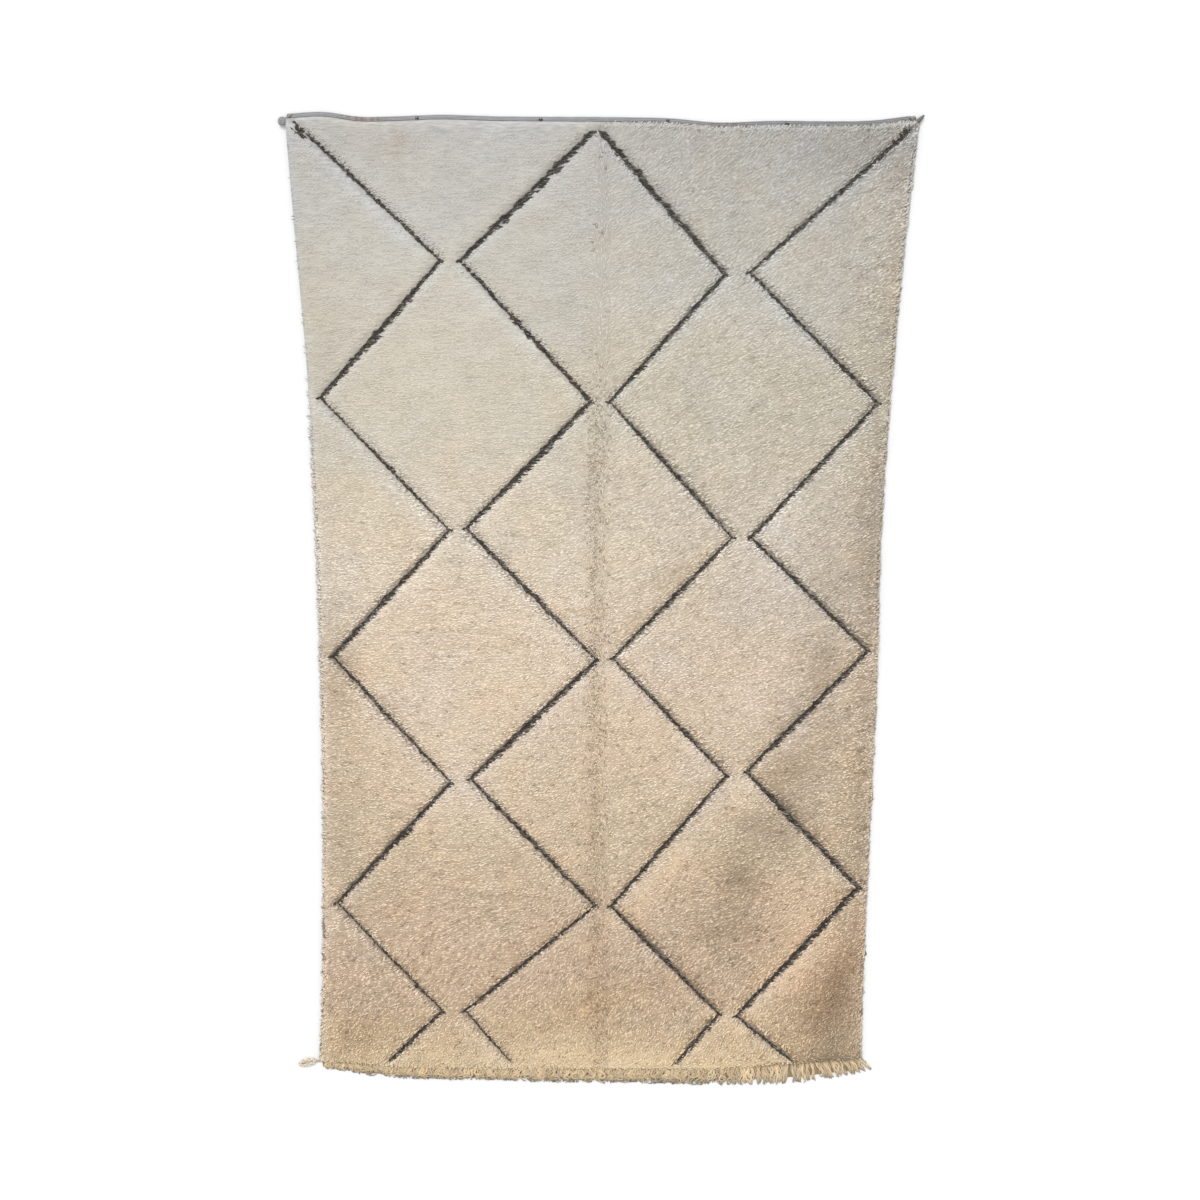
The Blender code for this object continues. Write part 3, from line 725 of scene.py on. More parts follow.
YARN_GRAIN = (320.0, 900.0, 1.0)
PILE_WOOL = wool_material("pile_wool_locks")
DARK_WOOL = wool_material("dark_wool_locks", sheen=0.12)
BASE_WOOL = base_material()
WOVEN_GROUND = woven_material()
BED_WOOL = wool_material("dark_wool_bed", grain=(60.0, 400.0, 200.0), depth=0.0015, sheen=0.1)
YARN_WOOL = wool_material("yarn_wool", grain=YARN_GRAIN, depth=0.0007)
DARK_YARN = wool_material("dark_yarn", grain=YARN_GRAIN, depth=0.0007, sheen=0.12)


# ---- pile


def root_grid():
    """Roots of the ivory locks in rows across the rug, a little uneven, with more at the rim, along the
    parting and beside the dark lines."""
    rows = np.arange(*ROOTS_ALONG, LOCK_ROW)
    steps = np.arange(ROOTS_ACROSS[0], ROOTS_ACROSS[1] + LOCK_STEP / 2, LOCK_STEP)
    x, y = np.meshgrid(steps, rows)
    x = x + LOCK_STEP / 2 * (np.arange(len(rows)) % 2)[:, None]
    x = x + rng.uniform(-0.46, 0.46, x.shape) * LOCK_STEP
    y = y + rng.uniform(-0.34, 0.34, x.shape) * LOCK_ROW
    more_x, more_y = rng.uniform(*ROOTS_ACROSS, RIM_TRIES), rng.uniform(*ROOTS_ALONG, RIM_TRIES)
    edge, band = inside(more_x, more_y)
    needed = rng.uniform(0, 1, RIM_TRIES) < smooth((rough(more_x, more_y) - 0.30) / 0.35)
    more = (np.minimum(edge, band) < 0.024) & needed
    parted = rng.uniform(0, 1, RIM_TRIES) < combed(more_x, more_y) * 1.6
    more |= (np.abs(more_x - PARTING_PLACE) < PARTING_ROOTS) & parted
    x, y = np.concatenate([x.ravel(), more_x[more]]), np.concatenate([y.ravel(), more_y[more]])
    edge, band = inside(x, y)
    bare = (1 - smooth((np.minimum(edge, band) - 0.014) / 0.022)) * calm(x, y)
    keep = (edge > 0.002) & (band > 0.001) & (rng.uniform(0, 1, len(x)) > bare)
    x, y = x[keep], y[keep]
    more_x, more_y = rng.uniform(*ROOTS_ACROSS, LINE_TRIES), rng.uniform(*LINE_ROOTS_ALONG, LINE_TRIES)
    gap, half = nearest_line(more_x, more_y)[::2]
    edge, band = inside(more_x, more_y)
    share = 0.25 + 0.75 * smooth((rough(more_x, more_y) - 0.30) / 0.35)
    needed = rng.uniform(0, 1, LINE_TRIES) < share
    keep = (gap < half + 0.0075) & (edge > 0.002) & (band > 0.001) & needed
    return np.concatenate([x, more_x[keep]]), np.concatenate([y, more_y[keep]])


def limited(x, y, angle, length, blocked, least, tries=7):
    """Lengths cut where a lock's path first meets what blocked() says, but no shorter than least."""
    found = length.copy()
    for k in range(tries, 0, -1):
        part = k / tries
        hit = blocked(x + np.cos(angle) * length * part, y + np.sin(angle) * length * part)
        found = np.where(hit, length * part, found)
    return np.maximum(found, least)


def steer(x, y, angle):
    """Locks near the ends of the rug flop over the edge."""
    near_fringe = 0.75 * (1 - smooth((y - fringed_end(x)) / 0.034))
    near_plain = 0.45 * (1 - smooth((plain_end(x) - BAND_DEPTH - y) / 0.030))
    dx, dy = np.cos(angle), np.sin(angle)
    dx, dy = dx * (1 - near_fringe), dy * (1 - near_fringe) - near_fringe
    dx, dy = dx * (1 - near_plain), dy * (1 - near_plain) + near_plain
    return np.arctan2(dy, dx)


def dark_half(x, y, half):
    """Half width of a dark line: uneven, and wider in places."""
    return half * (1 + 0.42 * field(x, y, 0.028, 41.0) + 0.35 * field(x, y, 0.12, 42.0))


def ripples(x, y):
    """Waves of the curly wool, about as far apart as its tufts, and broader streaks: -1 to 1."""
    lean = 0.12 + 0.30 * smooth((x + 0.05) / 0.1) + 0.35 * smooth((-0.65 - y) / 0.5)
    along, across = lengthwise(x, y, lean)
    loose = 0.55 + 0.35 * smooth((x + 0.05) / 0.1)
    bent = across / RIPPLE + loose * field(along, across, 0.019, 44.0, 1.8) + 0.8 * field(x, y, 0.05, 46.0)
    curl = np.sin(tau * bent) * (0.65 + 0.9 * field(along, across, 0.012, 47.0, 1.5))
    return curl, field(along, across, 0.014, 45.0, 2.5)


def ivory_roots():
    """Roots that stand clear of the dark lines, with the gap, side and half width of the nearest line."""
    x, y = root_grid()
    gap, below, half = nearest_line(x, y)
    half = dark_half(x, y, half)
    bare = (1 - smooth((gap - half - 0.003) / 0.014)) * calm(x, y)
    keep = (gap > 0.0004 + half * 0.8) & (rng.uniform(0, 1, len(x)) > 0.9 * bare)
    return [values[keep] for values in (x, y, gap, below, half)]


def ivory_angles(x, y, uneven, parted):
    """Directions of the locks, and which of them are specks that lie across the parting's wool."""
    count = len(x)
    wave = 0.45 * field(x, y, 0.013, 48.0, 1.3) * uneven
    angle = nap(x, y) + wave + rng.normal(0, 1, count) * (0.05 + 0.09 * uneven + 0.65 * parted)
    speck = rng.uniform(0, 1, count) < SPECK_SHARE * parted
    crossing = np.where(x < PARTING_PLACE, 0.65, -0.95) + rng.normal(0, 0.35, count)
    return steer(x, y, np.where(speck, crossing, angle)), speck


def ivory_lengths(x, y, angle, uneven, parted, speck):
    """Lengths of the locks, cut at the edge of the pile and at the dark lines."""
    count = len(x)
    edge, band = inside(x, y)
    rim = 1 - smooth(np.minimum(edge, band) / 0.022)
    length = rng.uniform(0.013, 0.022, count) * (1.22 - 0.20 * np.minimum(uneven, 1.2)) * (1 - 0.30 * parted)
    length = length * (1 + 0.5 * rim * smooth(uneven / 0.7)) * (1 - 0.08 * speck)
    reach = 0.0015 + 0.0035 * field(x, y, 0.045, 43.0) + rng.uniform(-0.002, 0.002, count)

    def at_edge(px, py):
        edge, band = inside(px, py)
        return (edge < -reach) | (band < -0.0025)

    def at_line(px, py):
        gap, half = nearest_line(px, py)[::2]
        return gap < 0.0006 + half

    length = limited(x, y, angle, length, at_edge, 0.007, tries=4)
    return limited(x, y, angle, length, at_line, 0.005, tries=4)


def ivory_colours(colour, ripple_shade_and_tone, strong, speck, uneven):
    """The wool's colours: ripples painted as light and shade, the parting's specks, and a little chance."""
    count = len(colour)
    # The darker specks are painted shade between the curls; the others are a little lighter
    dark_speck = rng.uniform(0, 1, count) < DARK_SPECKS
    specked = speck * np.where(dark_speck, rng.uniform(-0.40, -0.08, count), 0.12)
    # Painted light and shade of the ripples: the shaded part darker and warmer, the lit part lighter and
    # cooler
    shaded_part, lit_part = np.minimum(ripple_shade_and_tone, 0), np.maximum(ripple_shade_and_tone, 0)
    warmth = rng.normal(0, 0.008, count) * uneven - (0.13 * shaded_part + 0.04 * lit_part) * strong
    warmth = warmth + 0.02 * speck * dark_speck
    tint = np.stack([1 + warmth, 1 - 0.4 * np.maximum(warmth, 0), 1 - 2.2 * warmth], -1)
    return colour * tint * np.maximum((1 + ripple_shade_and_tone * strong) * (1 + specked), DARKEST)[:, None]


def ivory_locks():
    """The ivory pile, in a few pieces from one end of the rug to the other."""
    x, y, gap, below, half = ivory_roots()
    count = len(x)
    parted = combed(x, y)
    uneven = rough(x, y)
    uneven = uneven + 0.8 * parted * (1.3 - uneven)
    angle, speck = ivory_angles(x, y, uneven, parted)
    length = ivory_lengths(x, y, angle, uneven, parted, speck)
    width = LOCK_WIDTH * rng.uniform(0.80, 1.22, count) * np.clip(length / 0.012, 0.6, 1)
    width *= 1.42 - 0.42 * np.minimum(uneven, 1)
    curl, ripple = ripples(x + np.cos(angle) * length * 0.6, y + np.sin(angle) * length * 0.6)
    strong = 1.26 * np.minimum(rough(x, y), 1.2) ** 1.3
    valley = np.maximum(-curl - 0.10, 0)
    lift = (rng.normal(0, 0.0004, count) - 0.0034 * valley) * strong + 0.0014 * speck
    # Ripples painted into the colour as light and shade: darker in their valleys, lighter on their crests,
    # with a little random tone
    ripple_shade_and_tone = 0.18 * curl - 1.20 * valley + 0.24 * ripple + rng.normal(0, 0.035, count) * (1 + parted)
    ripple_shade_and_tone = np.clip(ripple_shade_and_tone, -0.72, 0.24) + 0.12
    colour = ivory_colours(wool(x, y, gap, below), ripple_shade_and_tone, strong, speck, uneven)
    beside = 1 - smooth((gap - half - 0.001) / 0.012)
    sink = 1 - 0.75 * beside * smooth((uneven - 0.35) / 0.4)
    columns = (x, y, angle, length, width, lift, capped(colour), uneven, sink)
    made = []
    for k, group in enumerate(np.array_split(np.argsort(y, kind="stable"), PILE_PIECES)):
        piece = locks(f"pile_{k + 1}", PILE_WOOL, *(values[group] for values in columns))
        made.append(piece)
    return made


# ---- dark lines


CHARCOAL_LOW, CHARCOAL_HIGH = (60, 48, 38), (68, 61, 55)
ASH = (118, 108, 98)
ASH_SHARE = 0.16
# Knots of the dark lines: rows across the rug, and strokes combed flatter than the line itself
KNOT_ROW = 0.0072
STROKES_PER_ROW = 9
DARK_UNEVEN = 0.6
DARK_SINK = 0.25
# Strokes brighter than LIT_TONE are pale wool, whose tone is about PALE_TONE
LIT_TONE = 2.5
PALE_TONE = 6.0
PALE_WOOL = (143, 139, 132)
CORE_SLOPE, BARB_SLOPE = radians(33), radians(10)
BARBS = 4
TURN_STROKES = 9
BLOT_STROKES = 12
DARK_WIDTH = 0.0033
PALE_RISING, PALE_FALLING = 0.24, 0.45
# Places where a dark line is thick
BLOTS = table(
    "across along",
    (-0.767, 1.297),
    (-0.759, 1.287),
    (-0.751, 1.277),
    (0.770, 1.290),
    (0.758, 1.276),
    (0.744, 1.262),
    (-0.566, -0.603),
    (-0.546, -0.582),
    (-0.523, -0.562),
    (-0.515, -1.032),
)


def charcoal(y):
    """Colour of the dark wool along the rug."""
    share = smooth((y + 0.9) / 2.0)[:, None]
    return linear(CHARCOAL_LOW) * (1 - share) + linear(CHARCOAL_HIGH) * share


def span_strokes(start, end):
    """Strokes of a dark line from one turn to the next: place, direction, length and tone of each."""
    dx, dy = end.across - start.across, end.along - start.along
    rows = int(abs(dy) / KNOT_ROW)
    row = np.repeat(np.arange(rows), STROKES_PER_ROW)
    t = (row + 0.5) / rows
    count = len(t)
    px, py = start.across + dx * t, start.along + dy * t
    half = dark_half(px, py, start.half * taper(t))
    rising = dx * dy > 0
    barb = np.tile(np.arange(STROKES_PER_ROW) < BARBS, rows)
    slope = np.where(barb, BARB_SLOPE, CORE_SLOPE) * (1 if rising else -1)
    lean = slope + rng.normal(0, 0.09, rows)[row] + rng.normal(0, 0.05, count)
    reach = np.clip(half * np.where(barb, 4.0, 4.6), 0.011, 0.028) * rng.uniform(0.72, 1.05, count)
    still = calm(px, py, 0.35)
    reach = reach * (1 - 0.12 * still)
    slide = rng.normal(0, 0.45, rows)[row] * half + rng.uniform(-0.7, 0.7, count) * half
    slide = slide + np.where(barb, 1.5 * half, -0.3 * half) * (1 if rising else 0.3)
    aside = rng.uniform(-0.0007, 0.0007, count)
    px = px + np.cos(lean) * (slide - reach / 2) - np.sin(lean) * aside
    py = py + np.sin(lean) * (slide - reach / 2) + np.cos(lean) * aside
    flip = (px < 0) & (rng.uniform(0, 1, count) < 0.7)
    px = px + np.where(flip, np.cos(lean) * reach, 0)
    py = py + np.where(flip, np.sin(lean) * reach, 0)
    tone = np.exp(rng.normal(-0.08, 0.30, rows)[row] + rng.normal(0, 0.26, count))
    share = (PALE_RISING if rising else PALE_FALLING) * (1 - 0.75 * still)
    pale = barb & (rng.uniform(0, 1, count) < share)
    tone = np.where(pale, PALE_TONE * rng.uniform(0.6, 1.3, count), tone)
    return px, py, lean + np.where(flip, pi, 0), reach, tone


def turn_strokes(before, turn, after):
    """Short strokes that point outwards where a line turns."""
    outward = 1 if turn.across > (before.across + after.across) / 2 else -1
    out = rng.uniform(-0.003, 0.005, TURN_STROKES)
    px = turn.across + out * outward
    py = turn.along - out * 0.3 + rng.normal(0, 0.0011, TURN_STROKES)
    angle = (0 if outward > 0 else pi) - outward * 0.3 + rng.normal(0, 0.14, TURN_STROKES)
    length = rng.uniform(0.007, 0.011, TURN_STROKES)
    return px, py, angle, length, np.exp(rng.normal(0, 0.2, TURN_STROKES))


def blot_strokes(blot):
    """Strokes that thicken a line at one place."""
    px = blot.across + rng.normal(-0.004, 0.0026, BLOT_STROKES)
    py = blot.along + rng.normal(0.003, 0.0026, BLOT_STROKES)
    angle = -0.6 + rng.normal(0, 0.15, BLOT_STROKES)
    length = rng.uniform(0.010, 0.016, BLOT_STROKES)
    return px, py, angle, length, np.exp(rng.normal(-0.2, 0.2, BLOT_STROKES))


def dark_locks():
    """The locks of the dark lines, with thin ends that reach out level where a line turns."""
    strokes = []
    for line in LINES:
        strokes += [span_strokes(*ends) for ends in zip(line, line[1:])]
        strokes += [turn_strokes(*turns) for turns in zip(line, line[1:], line[2:])]
    strokes += [blot_strokes(blot) for blot in BLOTS]
    x, y, angle, length, tone = (np.concatenate(values) for values in zip(*strokes))
    edge, band = inside(x, y)
    keep = (edge > 0.003) & (band > 0.004)
    x, y, angle, length, tone = (values[keep] for values in (x, y, angle, length, tone))
    count = len(x)

    def at_edge(px, py):
        edge, band = inside(px, py)
        return (edge < 0.002) | (band < 0.002)

    length = limited(x, y, angle, length, at_edge, 0.006)
    width = DARK_WIDTH * rng.uniform(0.75, 1.25, count)
    lift = rng.normal(0.0015, 0.0005, count)
    pale = linear(PALE_WOOL) * tone[:, None] / PALE_TONE
    colour = np.where(tone[:, None] > LIT_TONE, pale, charcoal(y) * tone[:, None])
    ash = (rng.uniform(0, 1, count) < ASH_SHARE) & (tone < LIT_TONE)
    colour = np.where(ash[:, None], linear(ASH) * tone[:, None], colour)
    lift = lift - 0.0005 * ash
    uneven, sink = np.full(count, DARK_UNEVEN), np.full(count, DARK_SINK)
    piece = locks("dark_lines", DARK_WOOL, x, y, angle, length, width, lift, capped(colour), uneven, sink)
    return piece


# ---- cloth


# Rings round the cloth from its top down to the floor: inset and height at the sides and the fringed end,
# and at the plain end, where the woven band lies flat
RINGS = table(
    "rim rim_height flange flange_height",
    (0.0035, 0.0115, 0.0130, 0.0100),
    (0.0030, 0.0075, 0.0112, 0.0046),
    (0.0080, 0.0050, 0.0010, 0.0046),
    (0.0080, 0.0035, 0.0000, 0.0034),
    (0.0082, 0.0014, 0.0000, 0.0014),
    (0.0090, 0.0006, 0.0010, 0.0006),
)
# First wall of woven ground below the woolly ones: at the woven band, and elsewhere
BAND_WOVEN_FROM, RIM_WOVEN_FROM = 2, 3
TOP_INSET = 0.0105
TOP_INSET_PLAIN = 0.0185
CLOTH_STEP = 0.0118
BASE_DEPTH = 0.0030
LINE_SINK = 0.0016
CLOTH_FLOOR = 0.0070
CLOTH_SPAN = (1.56, 2.60)
# The map of the cloth: its top in the left half and its underside in the right half
MAP_SPAN = (0.43, 0.93)
MAP_EDGE = 0.035
UNDER_EDGE = 0.535
UNDER_SPAN = (1.64, 2.70)


def cloth_top():
    """A grid over the pile, between the locks: u and v from 0 to 1, and x, y, z of each point."""
    n, m = (int(span / CLOTH_STEP) for span in CLOTH_SPAN)
    u, v = np.meshgrid(np.linspace(0, 1, n), np.linspace(0, 1, m), indexing="ij")
    x = CLOTH_SPAN[0] * (u - 0.5)
    for _ in range(3):
        low, high = fringed_end(x) + TOP_INSET, plain_end(x) - TOP_INSET_PLAIN
        y = low + (high - low) * v
        low, high = left_side(y) + TOP_INSET, right_side(y) - TOP_INSET
        x = low + (high - low) * u
    gap = nearest_line(x, y)[0]
    uneven = rough(x, y)
    bumps = 0.0010 * uneven * field(x, y, 0.016, 51.0, 2.0)
    z = surface(x, y, gap) - BASE_DEPTH * (0.28 + 0.62 * uneven) + bumps
    z = z - LINE_SINK * (1 - smooth((gap - 0.004) / 0.010))
    return u, v, x, y, np.maximum(z, CLOTH_FLOOR)


def border(n, m):
    """Row and column of each point round a grid's border."""
    i = np.concatenate([np.arange(n), np.full(m - 1, n - 1), np.arange(n - 2, -1, -1), np.zeros(m - 2, int)])
    j = np.concatenate([np.zeros(n, int), np.arange(1, m), np.full(n - 1, m - 1), np.arange(m - 2, 0, -1)])
    return i, j


def cloth_rings(u, v, x, y):
    """The rings below the grid's border: points, maps, walls, their material slots, and the last ring."""
    n, m = x.shape
    i, j = border(n, m)
    left, right, near, far = i == 0, i == n - 1, j == 0, j == m - 1
    loop = i * m + j
    rim_map = np.stack([u[i, j], v[i, j]], 1) * MAP_SPAN + MAP_EDGE
    out = np.stack([right.astype(float) - left, far.astype(float) - near], 1)
    points, maps, walls, slots = [], [], [], []
    for k, ring in enumerate(RINGS):
        rx = np.where(left, left_side(y[i, j]) + ring.rim, x[i, j])
        rx = np.where(right, right_side(y[i, j]) - ring.rim, rx)
        ry = np.where(near, fringed_end(rx) + ring.rim, np.where(far, plain_end(rx) - ring.flange, y[i, j]))
        rz = np.where(left | right | near, ring.rim_height, 9.0)
        rz = np.minimum(rz, np.where(far, ring.flange_height, 9.0))
        points.append(np.stack([rx, ry, rz], 1))
        maps.append(rim_map + out * 0.004 * (k + 1))
        new = n * m + k * len(loop) + np.arange(len(loop))
        walls.append(np.stack([loop, new, np.roll(new, -1), np.roll(loop, -1)], 1))
        slots.append((k >= np.where(far & np.roll(far, -1), BAND_WOVEN_FROM, RIM_WOVEN_FROM)).astype(int))
        loop = new
    return points, maps, walls, slots, loop


def cloth_colour(x, y):
    """Wool between the locks: painted shadow, darker and warmer than they are where the pile is uneven, and
    darkest under the lines.
    """
    gap, below = nearest_line(x, y)[:2]
    dark = 1 - smooth((gap - 0.003) / 0.006)
    edge, band = inside(x, y)
    depth = np.minimum(rough(x, y), 1.2) * smooth((np.minimum(edge, band) - 0.004) / 0.016)
    # Painted shadow deep in the pile, stronger where the locks are uneven
    shadow = 1 - np.array([0.18, 0.22, 0.26]) * depth[:, None]
    return capped(wool(x, y, gap, below) * shadow * (1 - 0.3 * dark[:, None]))


def build_cloth():
    """The rug's body: woven ground, woolly top under the locks, rounded rim, flat underside."""
    u, v, x, y, z = cloth_top()
    index = np.arange(x.size).reshape(x.shape)
    quads = np.stack([index[:-1, :-1], index[1:, :-1], index[1:, 1:], index[:-1, 1:]], -1).reshape(-1, 4)
    points, maps, walls, slots, loop = cloth_rings(u, v, x, y)
    points = np.concatenate([np.stack([x, y, z], -1).reshape(-1, 3), *points])
    maps = np.concatenate([np.stack([u, v], -1).reshape(-1, 2) * MAP_SPAN + MAP_EDGE, *maps])
    faces = np.concatenate([quads, *walls]).ravel()
    sizes = np.concatenate([np.full(len(faces) // 4, 4), [len(loop)]])
    faces = np.concatenate([faces, loop[::-1]])
    slots = np.concatenate([np.zeros(len(quads), int), *slots, [1]])
    cloth = mesh_piece("cloth", points, faces, sizes, BASE_WOOL, WOVEN_GROUND)
    cloth.data.polygons.foreach_set("material_index", slots.astype(np.int32))
    px, py = points[:, 0], points[:, 1]
    along, across = lengthwise(px, py, 0.40 * smooth((px + 0.035) / 0.07))
    put_wool(cloth, cloth_colour(px, py), np.stack([along, across, points[:, 2]], 1))
    under_u = UNDER_EDGE + MAP_SPAN[0] * (px / UNDER_SPAN[0] + 0.5)
    under_v = MAP_EDGE + MAP_SPAN[1] * (py / UNDER_SPAN[1] + 0.5)
    uv = maps[faces]
    uv[-len(loop):] = np.stack([under_u, under_v], 1)[loop[::-1]]
    put_map(cloth, uv)
    return cloth


# Section of the dark wool in a line's groove, and of the same knots on the underside: half widths, height
BED_SECTION = ((-1.0, 0.0002), (-0.45, 0.0022), (0.45, 0.0022), (1.0, 0.0002))
BACK_SECTION = ((-2.0, 0.0003), (-2.0, 0.0012), (2.0, 0.0012), (2.0, 0.0003))
BED_STEP = 0.009
BED_DEPTH = 0.0036
BED_TONE = 1.5


def bed_path(line):
    """Points along a dark line, clear of the rug's edges, with the line's half width at each."""
    path, halves = [], []
    for start, end in zip(line, line[1:]):
        dx, dy = end.across - start.across, end.along - start.along
        count = int(np.hypot(dx, dy) / BED_STEP)
        path += [(start.across + dx * (k / count), start.along + dy * (k / count)) for k in range(count)]
        halves += [start.half] * count
    path, halves = np.array(path), np.array(halves)
    path[:, 0] += 0.0012 * field(path[:, 0], path[:, 1], 0.02, 52.0)
    edge, band = inside(path[:, 0], path[:, 1])
    clear = (edge > 0.008) & (band > 0.010)
    return path[clear], halves[clear]


def bar_faces(rings, first):
    """Faces of a bar of four-cornered rings whose points are numbered from first."""
    faces = []
    for a in range(first, first + 4 * (rings - 1), 4):
        for p in range(4):
            q = (p + 1) % 4
            faces.append((a + p, a + q, a + 4 + q, a + 4 + p))
    last = first + 4 * (rings - 1)
    return faces + [(first + 3, first + 2, first + 1, first), (last, last + 1, last + 2, last + 3)]


def build_line_beds():
    """Dark wool packed along the bottom of each line's groove, and its knots on the underside."""
    points, faces = [], []
    for line in LINES:
        path, halves = bed_path(line)
        step = np.gradient(path, axis=0)
        normal = np.stack([-step[:, 1], step[:, 0]], 1) / np.hypot(step[:, 0], step[:, 1])[:, None]
        half = dark_half(path[:, 0], path[:, 1], halves) * 0.40 + 0.0006
        half[0] = half[-1] = 0.0008
        level = surface(path[:, 0], path[:, 1]) - BED_DEPTH
        for section, base, every in ((BED_SECTION, level, 1), (BACK_SECTION, 0 * level, 3)):
            first = sum(len(p) for p in points)
            ring = np.empty((len(path[::every]), 4, 3))
            for k, (out, up) in enumerate(section):
                ring[:, k, :2] = (path + normal * (out * half)[:, None])[::every]
                ring[:, k, 2] = base[::every] + up
            points.append(ring.reshape(-1, 3))
            faces += bar_faces(len(ring), first)
    points, faces = np.concatenate(points), np.array(faces)
    beds = mesh_piece("line_beds", points, faces.ravel(), np.full(len(faces), 4), BED_WOOL)
    put_wool(beds, charcoal(points[:, 1]) * BED_TONE, points)
    return beds


# ---- yarns


def yarn_rings(paths, radii, sides, up, closed):
    """Points of the rings round each path."""
    step = np.roll(paths, -1, 1) - np.roll(paths, 1, 1) if closed else np.gradient(paths, axis=1)
    step /= np.maximum(np.linalg.norm(step, axis=2, keepdims=True), 1e-12)
    side = np.cross(step, np.broadcast_to(np.asarray(up, float), paths.shape))
    side /= np.maximum(np.linalg.norm(side, axis=2, keepdims=True), 1e-12)
    top = np.cross(side, step)
    spokes = (pi / 2 + tau * np.arange(sides) / sides)[:, None]
    around = side[:, :, None] * np.cos(spokes) + top[:, :, None] * np.sin(spokes)
    return (paths[:, :, None] + radii[:, :, None, None] * around).reshape(-1, 3)


def yarn_faces(count, stations, sides, closed):
    """Corners of the faces of all yarns in one row, and how many corners each face has."""
    spans = stations if closed else stations - 1
    ring, k = np.arange(spans)[:, None] * sides, np.arange(sides)[None, :]
    a, b = ring + k, ring + (k + 1) % sides
    c, d = (b + sides) % (stations * sides), (a + sides) % (stations * sides)
    quads = np.stack([b, a, d, c], -1).reshape(-1, 4)
    caps = np.stack([k[0], (k[0] + (stations - 1) * sides)[::-1]])[: 0 if closed else 2]
    one = np.concatenate([quads.ravel(), caps.ravel()])
    faces = one + stations * sides * np.arange(count)[:, None]
    sizes = np.concatenate([np.full(len(quads), 4), np.full(len(caps), sides)])
    return faces.ravel(), np.tile(sizes, count)


def yarn_map(count, stations, sides, closed):
    """A cell of the map for each yarn: its sides as a grid, and its ends squeezed into the edges."""
    spans = stations if closed else stations - 1
    cell, wide = map_cells(count)
    corner_u = np.array([1, 0, 0, 1])[None, None, :] + np.arange(sides)[None, :, None]
    corner_v = np.array([0, 0, 1, 1])[None, None, :] + np.arange(spans)[:, None, None]
    body = np.stack([corner_u / sides + 0 * corner_v, corner_v / spans + 0 * corner_u], -1).reshape(-1, 2)
    spokes = pi / 2 + tau * np.arange(sides) / sides
    spots = np.stack([np.arange(sides) / sides, 0.3 * np.abs(np.sin(spokes)) / spans], 1)
    ends = [] if closed else [spots, spots[::-1] * (1, -1) + (0, 1)]
    local = 0.06 + 0.88 * np.concatenate([body, *ends])
    return (cell[:, None] + local[None] / wide).reshape(-1, 2)


def yarns(name, look, paths, radii, colours, sides=4, up=(0.0, 0.0, 1.0), closed=False):
    """A piece of joined yarns. paths (count, stations, 3), radii (count, stations), and colours for each
    yarn (count, 3) or for each station too."""
    count, stations = radii.shape
    points = yarn_rings(paths, radii, sides, up, closed)
    piece = mesh_piece(name, points, *yarn_faces(count, stations, sides, closed), look)
    colours = np.asarray(colours)
    if colours.ndim == 2:
        colours = np.repeat(colours[:, None], stations, axis=1)
    place = np.zeros((count, stations, sides, 3))
    steps = np.linalg.norm(np.diff(paths, axis=1), axis=2)
    place[:, 1:, :, 0] = np.cumsum(steps, axis=1)[:, :, None]
    place[..., 1] = 0.003 * np.abs(np.arange(sides) - sides / 2)
    place[..., 2] = np.arange(count)[:, None, None] * FIBRE_SHIFT
    put_wool(piece, np.repeat(colours.reshape(-1, 3), sides, axis=0), place.reshape(-1, 3))
    put_map(piece, yarn_map(count, stations, sides, closed))
    return piece


# ---- fringe

FRINGE_FROM = -0.786
FRINGE_TO = 0.737
FRINGE_STRANDS = 138
PIECE_GAP = 0.0006
FRINGE = table(
    "across reach lean curl",
    (-0.790, 0.026, 0.10, 0.0010),
    (-0.670, 0.036, 0.15, 0.0018),
    (-0.450, 0.036, 0.05, 0.0020),
    (-0.100, 0.041, -0.05, 0.0020),
    (0.250, 0.047, 0.00, 0.0018),
    (0.420, 0.056, 0.05, 0.0010),
    (0.550, 0.064, 0.20, 0.0006),
    (0.680, 0.054, 0.60, 0.0006),
    (0.740, 0.050, 0.95, 0.0004),
)
REACH_VARIATION = 0.10
REACH_STEP, REACH_LEVEL = 0.73, 5.0
YARNS_PER_STRAND = 6
LONG_YARNS = 5
STRANDS_PER_CLUMP = 3
YARN_STATIONS = 12
FRINGE_CREAM = (191, 171, 140)
CURLY = 0.0018


def fringe_reach(x):
    """How far the fringe reaches, how much it leans, and how curly it is, 0 to 1."""
    curly = np.clip(through(FRINGE, x, "curl") / CURLY, 0, 1) ** 1.5
    return through(FRINGE, x, "reach"), through(FRINGE, x, "lean"), curly


def heaped(x):
    """Where the fringe is heaped up to the pile's own height, about 0 to 1."""
    return smooth((x + 0.68) / 0.14) * smooth((0.50 - x) / 0.12)


def fringe_lengths(strand, which, reach, curly, inset):
    """Lengths of the yarns: strands of uneven reach, and some short yarns in each."""
    count = len(strand)
    varied = np.array([noise.noise((k * REACH_STEP, REACH_LEVEL, 0.0)) for k in range(FRINGE_STRANDS)])
    straight_share = rng.uniform(0.96, 1.06, count)
    share = straight_share + (rng.uniform(0.80, 1.06, count) - straight_share) * curly
    share = np.where(which >= LONG_YARNS, rng.uniform(0.55, 0.85, count), share)
    return (reach * (1 + REACH_VARIATION * varied[strand]) + inset) * share


